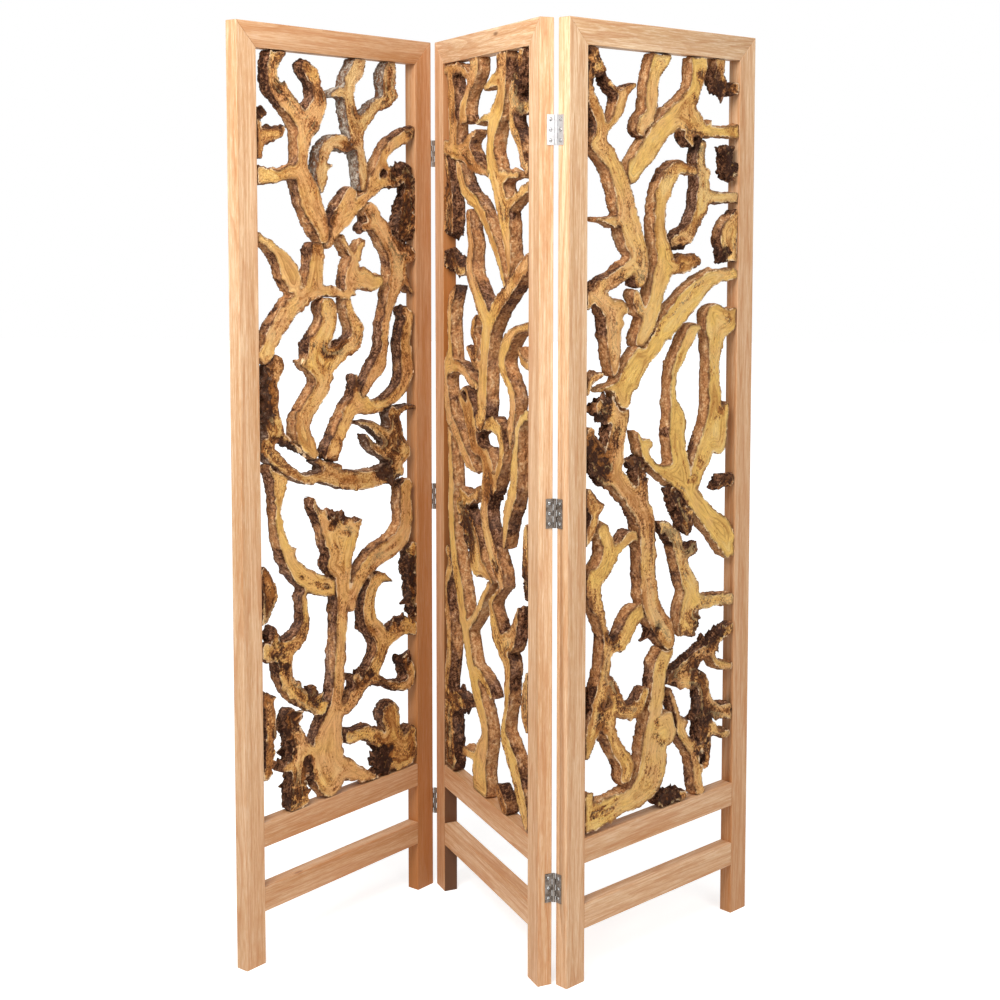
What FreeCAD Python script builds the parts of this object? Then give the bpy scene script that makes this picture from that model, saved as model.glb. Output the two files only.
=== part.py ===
import FreeCAD, Part
import math
import os
import Sketcher

# Folding room screen of three plain timber frames, hinged edge to edge and standing in a zig-zag.
# Each frame's opening is filled with flat sawn slabs of gnarled root wood.
# Panel coordinates: X along the panel's width, Y from its front face to its back, Z up.

# Driving sizes: millimetres, and degrees for the angles.
SIZES = {
    "screen_height": 1700,
    "panel_width": 500,
    "member_width": 45,
    "frame_depth": 27,
    "bottom_rail_base": 97,
    "lattice_rail_base": 217,
    "middle_heading": -63.5,
    "left_fold_angle": 62.7,
    "right_fold_angle": 70.3,
    "tenon_length": 28,
    "tenon_thickness": 9,
    "tenon_shoulder": 5,
    "tenon_clearance": 0.1,
    "dowel_diameter": 8,
    "dowel_length": 24,
    "dowel_spacing": 24,
    "fit_clearance": 0.05,
    "slab_recess": 1,
    "slab_clearance": 0.4,
    "hinge_height": 52,
    "knuckle_diameter": 5.5,
    "knuckle_break": 0.3,
    "pin_diameter": 2.6,
    "leaf_thickness": 1.2,
    "leaf_reach": 13.5,
    "left_hinge_low": 174,
    "left_hinge_middle_drop": 900,
    "left_hinge_high_drop": 217,
    "right_hinge_low": 178,
    "right_hinge_middle_drop": 852,
    "right_hinge_high_drop": 190,
    "screw_spacing": 18,
    "screw_length": 14,
    "screw_head_diameter": 6.2,
    "screw_shank_diameter": 2.8,
    "screw_slot_width": 0.8,
    "screw_slot_depth": 0.5,
    "cut_overrun": 2,
}

KNUCKLES_PER_HINGE = 5
SCREWS_PER_LEAF = 3
STEPS_PER_STRETCH = 2
# A slab's leftover smaller than this share of the opening's width, squared, is offcut.
OFFCUT_SHARE = 0.03

# The limbs are drawn in an opening one unit wide and this tall, as distances on a grid of squares,
# then stretched to the real opening.
DRAWN_TALLNESS = 3.39756
GRID_PITCH = 1 / 82
OUTLINE_TOLERANCE = 0.0003

# Each limb is a list of strokes. A stroke's point is its place across the opening, its place up
# the opening, and its half width as a share of the opening's width.
LEFT_LIMB_SHARES = {
    "crown_fork": [
        [(0.13, 1, 0.05), (0.11, 0.985, 0.038), (0.092, 0.969, 0.036), (0.115, 0.953, 0.042),
         (0.16, 0.943, 0.046), (0.21, 0.93, 0.048), (0.255, 0.916, 0.05)],
        [(0.295, 0.982, 0.033), (0.335, 0.972, 0.038), (0.365, 0.952, 0.036), (0.378, 0.936, 0.048),
         (0.335, 0.918, 0.06), (0.29, 0.9, 0.055)],
        [(0.287, 0.905, 0.056), (0.277, 0.88, 0.043), (0.269, 0.86, 0.036), (0.268, 0.843, 0.048),
         (0.303, 0.822, 0.063), (0.335, 0.8, 0.063), (0.37, 0.78, 0.052), (0.396, 0.764, 0.038)],
        [(0, 0.841, 0.042), (0.06, 0.84, 0.038), (0.135, 0.84, 0.028), (0.2, 0.845, 0.036),
         (0.262, 0.846, 0.04)],
    ],
    "grey_limb": [
        [(0.628, 1, 0.044), (0.62, 0.985, 0.044), (0.575, 0.97, 0.04), (0.563, 0.95, 0.034),
         (0.572, 0.93, 0.04), (0.602, 0.905, 0.042), (0.627, 0.88, 0.032), (0.642, 0.86, 0.033),
         (0.652, 0.842, 0.032), (0.645, 0.827, 0.02)],
        [(0.555, 0.95, 0.022), (0.5, 0.952, 0.022), (0.45, 0.949, 0.01)],
        [(0.615, 0.906, 0.045), (0.67, 0.92, 0.034), (0.728, 0.936, 0.028), (0.79, 0.944, 0.03),
         (0.85, 0.953, 0.032)],
        [(0.832, 0.953, 0.038), (0.822, 0.97, 0.044), (0.832, 0.986, 0.044), (0.842, 0.993, 0.028)],
        [(0.578, 0.882, 0.024), (0.52, 0.886, 0.036), (0.46, 0.887, 0.034), (0.414, 0.876, 0.036),
         (0.39, 0.858, 0.036), (0.385, 0.84, 0.035), (0.385, 0.823, 0.018)],
        [(0.4, 0.848, 0.02), (0.455, 0.857, 0.005)],
    ],
    "cross_bough": [
        [(0.42, 0.752, 0.024), (0.47, 0.768, 0.03), (0.54, 0.786, 0.033), (0.6, 0.8, 0.031),
         (0.67, 0.815, 0.031), (0.74, 0.829, 0.029), (0.82, 0.837, 0.027), (0.905, 0.838, 0.016)],
        [(0.455, 0.782, 0.028), (0.52, 0.802, 0.036), (0.57, 0.818, 0.036)],
        [(0.68, 0.83, 0.03), (0.742, 0.85, 0.026), (0.79, 0.872, 0.03), (0.85, 0.887, 0.035),
         (0.92, 0.897, 0.036), (0.985, 0.906, 0.032)],
        [(0.785, 0.862, 0.024), (0.83, 0.849, 0.02), (0.88, 0.843, 0.018)],
        [(0.94, 0.85, 0.042), (0.965, 0.83, 0.032), (0.955, 0.803, 0.052), (0.94, 0.778, 0.06),
         (0.925, 0.765, 0.042)],
    ],
    "right_yoke": [
        [(0.672, 0.801, 0.034), (0.715, 0.789, 0.045), (0.77, 0.772, 0.046), (0.825, 0.752, 0.05),
         (0.872, 0.732, 0.06), (0.88, 0.71, 0.056), (0.855, 0.69, 0.046), (0.826, 0.668, 0.036),
         (0.8, 0.645, 0.028), (0.785, 0.62, 0.025), (0.78, 0.6, 0.03), (0.75, 0.583, 0.045),
         (0.7, 0.567, 0.036), (0.645, 0.55, 0.024)],
        [(0.87, 0.735, 0.05), (0.93, 0.735, 0.046), (0.97, 0.733, 0.036)],
        [(0.705, 0.777, 0.03), (0.65, 0.773, 0.02)],
        [(0.93, 0.702, 0.02), (0.975, 0.682, 0.014)],
    ],
    "arc_limb": [
        [(0.352, 0.742, 0.046), (0.346, 0.72, 0.047), (0.33, 0.697, 0.055), (0.27, 0.682, 0.045),
         (0.2, 0.67, 0.045), (0.135, 0.652, 0.046), (0.08, 0.632, 0.046), (0.04, 0.612, 0.04)],
        [(0.38, 0.69, 0.034), (0.46, 0.687, 0.022), (0.53, 0.684, 0.017), (0.6, 0.683, 0.007)],
        [(0, 0.764, 0.026), (0.04, 0.758, 0.02), (0.1, 0.747, 0.026), (0.15, 0.733, 0.042),
         (0.19, 0.715, 0.056), (0.212, 0.702, 0.048)],
        [(0.51, 0.76, 0.02), (0.55, 0.745, 0.022), (0.59, 0.731, 0.022)],
        [(0.642, 0.752, 0.02), (0.602, 0.735, 0.028), (0.572, 0.715, 0.04), (0.56, 0.699, 0.042)],
        [(0.6, 0.702, 0.042), (0.65, 0.705, 0.05), (0.7, 0.697, 0.04), (0.752, 0.7, 0.03)],
    ],
    "centre_snake": [
        [(0.42, 0.666, 0.055), (0.425, 0.65, 0.05), (0.4, 0.632, 0.054), (0.345, 0.615, 0.055),
         (0.347, 0.595, 0.055), (0.39, 0.578, 0.055), (0.37, 0.56, 0.046), (0.312, 0.54, 0.046),
         (0.262, 0.522, 0.05), (0.257, 0.505, 0.05), (0.29, 0.488, 0.042), (0.332, 0.473, 0.024)],
        [(0.385, 0.585, 0.05), (0.45, 0.597, 0.05), (0.52, 0.61, 0.045), (0.58, 0.616, 0.046),
         (0.606, 0.631, 0.04), (0.588, 0.645, 0.036), (0.56, 0.66, 0.028), (0.546, 0.676, 0.024)],
        [(0.292, 0.588, 0.012), (0.222, 0.609, 0.004)],
        [(0.5, 0.612, 0.02), (0.432, 0.613, 0.014)],
    ],
    "long_bough": [
        [(0.102, 0.597, 0.048), (0.075, 0.58, 0.044), (0.07, 0.56, 0.045), (0.066, 0.54, 0.05),
         (0.08, 0.52, 0.054), (0.105, 0.507, 0.042), (0.17, 0.496, 0.015), (0.24, 0.482, 0.012),
         (0.32, 0.467, 0.012), (0.41, 0.456, 0.022), (0.48, 0.449, 0.022)],
        [(0.03, 0.495, 0.034), (0.1, 0.473, 0.034), (0.18, 0.455, 0.026), (0.27, 0.442, 0.023),
         (0.36, 0.442, 0.03), (0.45, 0.437, 0.04), (0.55, 0.43, 0.045), (0.65, 0.427, 0.045),
         (0.75, 0.428, 0.046), (0.83, 0.43, 0.046), (0.885, 0.43, 0.034)],
        [(0.6, 0.508, 0.007), (0.68, 0.503, 0.02), (0.75, 0.493, 0.03), (0.81, 0.48, 0.036),
         (0.86, 0.463, 0.04), (0.905, 0.45, 0.036)],
        [(0.655, 0.49, 0.009), (0.7, 0.473, 0.018), (0.77, 0.462, 0.028), (0.84, 0.452, 0.03)],
        [(0.842, 0.514, 0.034), (0.855, 0.495, 0.04), (0.88, 0.475, 0.045), (0.925, 0.458, 0.04)],
        [(0.862, 0.513, 0.024), (0.92, 0.519, 0.018), (1, 0.518, 0.015)],
    ],
    "sweep_bough": [
        [(0.44, 0.47, 0.05), (0.475, 0.49, 0.042), (0.52, 0.51, 0.038), (0.565, 0.527, 0.045),
         (0.62, 0.535, 0.05), (0.68, 0.527, 0.036), (0.76, 0.527, 0.03), (0.84, 0.535, 0.03),
         (0.9, 0.548, 0.036), (0.94, 0.568, 0.045), (0.936, 0.59, 0.045), (0.925, 0.61, 0.04),
         (0.938, 0.63, 0.04), (0.962, 0.65, 0.026)],
        [(0.59, 0.545, 0.02), (0.6, 0.56, 0.018), (0.595, 0.572, 0.009)],
        [(0.93, 0.655, 0.03), (0.965, 0.648, 0.02)],
    ],
    "tree_trunk": [
        [(0.318, 0.413, 0.008), (0.336, 0.4, 0.016), (0.368, 0.387, 0.025), (0.404, 0.368, 0.036),
         (0.44, 0.348, 0.05), (0.474, 0.328, 0.06), (0.49, 0.315, 0.055)],
        [(0.35, 0.392, 0.016), (0.385, 0.394, 0.007)],
        [(0.46, 0.308, 0.03), (0.415, 0.315, 0.02), (0.4, 0.326, 0.01)],
        [(0.625, 0.373, 0.012), (0.585, 0.361, 0.03), (0.55, 0.347, 0.045), (0.52, 0.332, 0.055)],
        [(0.47, 0.376, 0.036), (0.5, 0.36, 0.058), (0.548, 0.369, 0.034)],
        [(0.505, 0.335, 0.068), (0.502, 0.315, 0.055), (0.5, 0.29, 0.045), (0.494, 0.26, 0.038),
         (0.487, 0.22, 0.037), (0.475, 0.18, 0.038), (0.46, 0.14, 0.039), (0.44, 0.115, 0.055),
         (0.41, 0.09, 0.085), (0.392, 0.065, 0.1), (0.402, 0.042, 0.105), (0.42, 0.026, 0.088)],
        [(0.37, 0.07, 0.07), (0.34, 0.045, 0.045), (0.342, 0.03, 0.034), (0.38, 0.026, 0.04)],
        [(0.45, 0.038, 0.066), (0.53, 0.028, 0.05), (0.6, 0.017, 0.036), (0.67, 0.008, 0.024),
         (0.712, 0.004, 0.012)],
        [(0.172, 0.13, 0.036), (0.18, 0.112, 0.044), (0.215, 0.092, 0.05), (0.225, 0.072, 0.055),
         (0.215, 0.05, 0.048), (0.212, 0.028, 0.055), (0.215, 0.012, 0.06)],
        [(0.265, 0.08, 0.03), (0.285, 0.07, 0.025)],
        [(0.15, 0.062, 0.026), (0.112, 0.062, 0.01)],
        [(0.93, 0.405, 0.046), (0.925, 0.385, 0.046), (0.93, 0.36, 0.046), (0.9, 0.337, 0.055),
         (0.82, 0.325, 0.055), (0.74, 0.318, 0.052), (0.66, 0.305, 0.045), (0.6, 0.288, 0.04),
         (0.566, 0.266, 0.03), (0.555, 0.253, 0.018)],
        [(0.825, 0.277, 0.01), (0.77, 0.285, 0.025), (0.71, 0.281, 0.04), (0.68, 0.265, 0.04),
         (0.67, 0.245, 0.043), (0.682, 0.225, 0.045), (0.73, 0.21, 0.05), (0.76, 0.193, 0.05),
         (0.74, 0.172, 0.045), (0.69, 0.155, 0.045), (0.62, 0.14, 0.04), (0.56, 0.125, 0.04),
         (0.522, 0.115, 0.034)],
        [(0.76, 0.19, 0.045), (0.83, 0.2, 0.04), (0.89, 0.207, 0.045), (0.95, 0.205, 0.042),
         (1, 0.198, 0.034)],
        [(0.71, 0.145, 0.034), (0.77, 0.135, 0.02), (0.84, 0.126, 0.023), (0.91, 0.122, 0.028),
         (0.96, 0.128, 0.032), (0.942, 0.146, 0.034), (0.918, 0.156, 0.02)],
        [(0.6, 0.146, 0.03), (0.575, 0.156, 0.016)],
    ],
    "lower_arc": [
        [(0.12, 0.448, 0.05), (0.11, 0.43, 0.032), (0.105, 0.405, 0.021), (0.115, 0.38, 0.023),
         (0.145, 0.355, 0.031), (0.19, 0.332, 0.039), (0.25, 0.312, 0.045), (0.33, 0.299, 0.05),
         (0.41, 0.291, 0.05), (0.45, 0.289, 0.048)],
        [(0.072, 0.463, 0.026), (0.12, 0.45, 0.04)],
        [(0.172, 0.347, 0.02), (0.208, 0.352, 0.01)],
        [(0, 0.228, 0.032), (0.06, 0.221, 0.041), (0.13, 0.22, 0.045), (0.19, 0.225, 0.04),
         (0.24, 0.234, 0.035), (0.262, 0.246, 0.028), (0.265, 0.265, 0.022), (0.254, 0.286, 0.02)],
        [(0.08, 0.232, 0.03), (0.084, 0.25, 0.012), (0.072, 0.256, 0.005)],
        [(0.14, 0.215, 0.05), (0.138, 0.195, 0.046), (0.152, 0.178, 0.04), (0.19, 0.162, 0.04),
         (0.25, 0.148, 0.038), (0.31, 0.137, 0.04), (0.37, 0.127, 0.038), (0.405, 0.121, 0.03)],
        [(0.322, 0.146, 0.018), (0.312, 0.158, 0.011)],
    ],
    "arch_root": [
        [(0.532, 0.075, 0.034), (0.58, 0.073, 0.035), (0.65, 0.072, 0.035), (0.72, 0.06, 0.04),
         (0.77, 0.045, 0.045), (0.83, 0.03, 0.055), (0.88, 0.014, 0.052), (0.92, 0.014, 0.05)],
        [(0.812, 0.088, 0.062), (0.825, 0.072, 0.052), (0.84, 0.056, 0.05), (0.87, 0.04, 0.056),
         (0.92, 0.028, 0.06), (0.955, 0.02, 0.05)],
        [(0.96, 0.05, 0.036), (0.965, 0.03, 0.036)],
        [(0.75, 0.025, 0.034), (0.785, 0.012, 0.042)],
    ],
    "edge_knots": [
        [(0.015, 0.331, 0.02), (0.03, 0.315, 0.036), (0.055, 0.298, 0.045), (0.03, 0.283, 0.042),
         (0.015, 0.27, 0.03)],
        [(0.015, 0.166, 0.022), (0.04, 0.15, 0.03), (0.045, 0.12, 0.031), (0.04, 0.09, 0.031),
         (0.033, 0.066, 0.03), (0.012, 0.06, 0.02)],
        [(0.045, 0.16, 0.016), (0.082, 0.162, 0.007)],
        [(0.012, 0.918, 0.03), (0.062, 0.921, 0.008)],
        [(0.01, 0.905, 0.024), (0.012, 0.868, 0.024), (0.03, 0.886, 0.032), (0.08, 0.893, 0.035),
         (0.13, 0.895, 0.025), (0.168, 0.903, 0.008)],
        [(0.982, 0.32, 0.018), (0.97, 0.298, 0.03), (0.972, 0.272, 0.029), (0.983, 0.247, 0.021),
         (0.987, 0.222, 0.016)],
    ],
}

MIDDLE_LIMB_SHARES = {
    "left_stem": [
        [(0.085, 0.994, 0.034), (0.1, 0.955, 0.05), (0.112, 0.93, 0.05), (0.122, 0.905, 0.052),
         (0.12, 0.885, 0.05)],
        [(0, 0.885, 0.032), (0.08, 0.882, 0.042), (0.18, 0.876, 0.042), (0.27, 0.875, 0.05),
         (0.33, 0.865, 0.05), (0.4, 0.855, 0.032), (0.48, 0.85, 0.026), (0.55, 0.843, 0.011)],
        [(0.28, 0.885, 0.034), (0.34, 0.896, 0.022), (0.405, 0.902, 0.011)],
        [(0.38, 1, 0.052), (0.38, 0.985, 0.055), (0.345, 0.97, 0.036), (0.3, 0.957, 0.026),
         (0.262, 0.941, 0.036), (0.24, 0.928, 0.046), (0.285, 0.92, 0.02)],
        [(0.02, 0.992, 0.022), (0.12, 0.992, 0.022), (0.22, 0.988, 0.024), (0.305, 0.978, 0.024),
         (0.35, 0.975, 0.03)],
    ],
    "main_trunk": [
        [(0.7, 1, 0.066), (0.704, 0.98, 0.058), (0.706, 0.965, 0.048), (0.7, 0.948, 0.046),
         (0.668, 0.93, 0.056), (0.61, 0.912, 0.056), (0.58, 0.89, 0.047), (0.572, 0.87, 0.052),
         (0.602, 0.85, 0.056), (0.65, 0.83, 0.057), (0.692, 0.81, 0.066), (0.732, 0.785, 0.06),
         (0.756, 0.76, 0.046), (0.775, 0.737, 0.03), (0.785, 0.716, 0.012)],
        [(0.75, 0.803, 0.04), (0.83, 0.81, 0.022), (0.92, 0.82, 0.023), (1, 0.826, 0.025)],
        [(0.59, 0.919, 0.022), (0.5, 0.918, 0.016), (0.41, 0.913, 0.014)],
        [(0.65, 0.968, 0.04), (0.585, 0.964, 0.028), (0.515, 0.957, 0.014)],
        [(0.69, 0.838, 0.034), (0.78, 0.842, 0.022), (0.88, 0.842, 0.012)],
        [(0.188, 0.862, 0.03), (0.21, 0.845, 0.04), (0.25, 0.828, 0.036), (0.32, 0.816, 0.034),
         (0.4, 0.807, 0.034), (0.48, 0.79, 0.033), (0.55, 0.77, 0.029), (0.62, 0.75, 0.025),
         (0.68, 0.728, 0.024), (0.73, 0.703, 0.019)],
    ],
    "corner_fork": [
        [(0.915, 1, 0.026), (0.884, 0.976, 0.03), (0.842, 0.955, 0.042), (0.822, 0.937, 0.038),
         (0.88, 0.926, 0.034), (0.955, 0.925, 0.032), (1, 0.925, 0.032)],
        [(0.815, 0.932, 0.034), (0.806, 0.908, 0.028), (0.86, 0.893, 0.03), (0.906, 0.875, 0.027),
         (0.935, 0.855, 0.03), (1, 0.85, 0.026)],
    ],
    "wishbone": [
        [(0.31, 0.79, 0.03), (0.32, 0.77, 0.031), (0.344, 0.75, 0.04), (0.33, 0.73, 0.04),
         (0.332, 0.71, 0.046), (0.38, 0.695, 0.046), (0.43, 0.68, 0.05), (0.48, 0.665, 0.055),
         (0.532, 0.65, 0.056), (0.522, 0.63, 0.058), (0.505, 0.61, 0.052), (0.495, 0.59, 0.052),
         (0.486, 0.57, 0.054), (0.48, 0.55, 0.06), (0.472, 0.53, 0.06), (0.445, 0.516, 0.048)],
        [(1, 0.733, 0.042), (0.92, 0.722, 0.041), (0.85, 0.71, 0.041), (0.77, 0.695, 0.041),
         (0.69, 0.68, 0.043), (0.62, 0.665, 0.046), (0.566, 0.648, 0.046)],
        [(0.455, 0.59, 0.028), (0.4, 0.59, 0.032), (0.345, 0.602, 0.03), (0.3, 0.608, 0.018)],
        [(0.395, 0.6, 0.028), (0.4, 0.62, 0.024), (0.36, 0.63, 0.024), (0.372, 0.645, 0.02),
         (0.4, 0.655, 0.01)],
        [(0.152, 0.692, 0.014), (0.11, 0.68, 0.026), (0.076, 0.665, 0.031), (0.07, 0.64, 0.029),
         (0.075, 0.615, 0.027), (0.08, 0.595, 0.04), (0.06, 0.583, 0.05), (0.13, 0.58, 0.032),
         (0.2, 0.58, 0.027), (0.27, 0.575, 0.026), (0.33, 0.565, 0.026), (0.4, 0.562, 0.02)],
        [(0.03, 0.58, 0.036), (0.018, 0.56, 0.028), (0.025, 0.54, 0.034), (0.042, 0.52, 0.042),
         (0.068, 0.506, 0.042)],
        [(0.095, 0.5, 0.036), (0.17, 0.485, 0.041), (0.24, 0.466, 0.036), (0.3, 0.455, 0.036),
         (0.35, 0.447, 0.025), (0.405, 0.445, 0.009)],
    ],
    "sweep_column": [
        [(0.068, 0.49, 0.026), (0.075, 0.47, 0.026), (0.085, 0.44, 0.031), (0.09, 0.41, 0.038),
         (0.086, 0.38, 0.039), (0.095, 0.35, 0.039), (0.12, 0.32, 0.043), (0.156, 0.29, 0.046),
         (0.2, 0.265, 0.05), (0.226, 0.24, 0.048), (0.26, 0.22, 0.046), (0.296, 0.195, 0.043),
         (0.336, 0.17, 0.046), (0.386, 0.148, 0.049), (0.44, 0.125, 0.05), (0.494, 0.105, 0.049),
         (0.514, 0.086, 0.042), (0.48, 0.065, 0.06), (0.45, 0.045, 0.074), (0.44, 0.025, 0.084),
         (0.45, 0.012, 0.086)],
        [(0.3, 0.225, 0.028), (0.37, 0.24, 0.026), (0.43, 0.257, 0.022), (0.49, 0.277, 0.021),
         (0.55, 0.296, 0.02)],
        [(0.38, 0.047, 0.026), (0.32, 0.045, 0.02), (0.25, 0.043, 0.026)],
        [(0.36, 0.165, 0.036), (0.44, 0.166, 0.028), (0.52, 0.157, 0.028), (0.58, 0.147, 0.016)],
    ],
    "left_foot": [
        [(0.045, 0.316, 0.032), (0.08, 0.3, 0.031), (0.045, 0.28, 0.032), (0.014, 0.26, 0.024),
         (0.02, 0.24, 0.032), (0.05, 0.215, 0.036), (0.06, 0.185, 0.036), (0.054, 0.16, 0.036),
         (0.028, 0.136, 0.032), (0.02, 0.118, 0.032), (0.032, 0.1, 0.04), (0.056, 0.07, 0.054),
         (0.062, 0.042, 0.062), (0.066, 0.012, 0.062)],
        [(0.05, 0.092, 0.06), (0.13, 0.104, 0.054), (0.2, 0.11, 0.038), (0.26, 0.107, 0.02)],
    ],
    "ring_root": [
        [(0.2, 0.54, 0.018), (0.26, 0.528, 0.036), (0.31, 0.51, 0.05), (0.35, 0.495, 0.056),
         (0.38, 0.48, 0.05), (0.43, 0.474, 0.032), (0.51, 0.47, 0.034)],
        [(0.37, 0.506, 0.045), (0.45, 0.508, 0.031), (0.52, 0.512, 0.027), (0.6, 0.515, 0.036),
         (0.67, 0.508, 0.041), (0.702, 0.49, 0.03), (0.692, 0.47, 0.027), (0.65, 0.45, 0.028),
         (0.6, 0.43, 0.028)],
        [(0.52, 0.465, 0.058), (0.545, 0.445, 0.07), (0.525, 0.425, 0.06), (0.506, 0.405, 0.046),
         (0.502, 0.388, 0.046), (0.53, 0.37, 0.049), (0.575, 0.35, 0.05), (0.62, 0.335, 0.05),
         (0.665, 0.32, 0.05), (0.69, 0.314, 0.034)],
        [(0.345, 0.52, 0.04), (0.3, 0.545, 0.018), (0.262, 0.553, 0.012), (0.21, 0.548, 0.008)],
        [(0.19, 0.388, 0.04), (0.27, 0.372, 0.06), (0.34, 0.35, 0.08), (0.38, 0.332, 0.084),
         (0.4, 0.318, 0.066), (0.5, 0.312, 0.032), (0.59, 0.303, 0.014)],
        [(0.21, 0.408, 0.022), (0.3, 0.4, 0.026), (0.4, 0.412, 0.02), (0.45, 0.424, 0.018)],
        [(0.57, 0.272, 0.02), (0.6, 0.257, 0.036), (0.635, 0.238, 0.05), (0.69, 0.225, 0.05),
         (0.76, 0.234, 0.05), (0.805, 0.24, 0.046), (0.85, 0.262, 0.026), (0.886, 0.287, 0.013)],
        [(0.7, 0.218, 0.042), (0.77, 0.205, 0.04), (0.768, 0.185, 0.034), (0.765, 0.165, 0.028),
         (0.755, 0.145, 0.02), (0.732, 0.125, 0.022), (0.722, 0.108, 0.032), (0.76, 0.095, 0.048),
         (0.82, 0.08, 0.055), (0.862, 0.065, 0.056), (0.892, 0.05, 0.052), (0.93, 0.035, 0.05),
         (0.96, 0.02, 0.042), (0.98, 0.008, 0.03)],
        [(0.56, 0.274, 0.02), (0.65, 0.292, 0.012), (0.72, 0.306, 0.016)],
    ],
    "right_hook": [
        [(1, 0.652, 0.026), (0.9, 0.648, 0.021), (0.82, 0.64, 0.031), (0.75, 0.625, 0.046),
         (0.702, 0.607, 0.046), (0.722, 0.59, 0.037), (0.78, 0.575, 0.032), (0.822, 0.56, 0.036),
         (0.822, 0.54, 0.036), (0.802, 0.52, 0.036), (0.796, 0.505, 0.026), (0.8, 0.492, 0.014)],
        [(0.88, 0.622, 0.012), (0.92, 0.608, 0.016), (1, 0.602, 0.018)],
    ],
    "right_sickle": [
        [(1, 0.54, 0.025), (0.92, 0.533, 0.023), (0.875, 0.518, 0.021), (0.87, 0.5, 0.02),
         (0.85, 0.48, 0.036), (0.84, 0.46, 0.042), (0.83, 0.44, 0.046), (0.8, 0.42, 0.046),
         (0.76, 0.402, 0.041), (0.745, 0.38, 0.03), (0.73, 0.36, 0.016)],
    ],
    "edge_knots": [
        [(0.985, 0.205, 0.02), (0.966, 0.185, 0.034), (0.96, 0.165, 0.041), (0.965, 0.148, 0.036),
         (0.985, 0.135, 0.02)],
        [(0.975, 0.398, 0.014), (0.965, 0.38, 0.03), (0.965, 0.36, 0.036), (0.96, 0.335, 0.041),
         (0.968, 0.314, 0.028)],
        [(0.665, 0.026, 0.032), (0.712, 0.014, 0.038), (0.74, 0.006, 0.03)],
        [(0.025, 0.872, 0.022), (0.05, 0.85, 0.026), (0.074, 0.83, 0.028), (0.062, 0.81, 0.058),
         (0.07, 0.79, 0.064), (0.06, 0.776, 0.06)],
        [(0, 0.729, 0.042), (0.07, 0.727, 0.046), (0.135, 0.722, 0.042), (0.2, 0.714, 0.024),
         (0.262, 0.716, 0.022)],
    ],
}

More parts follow.
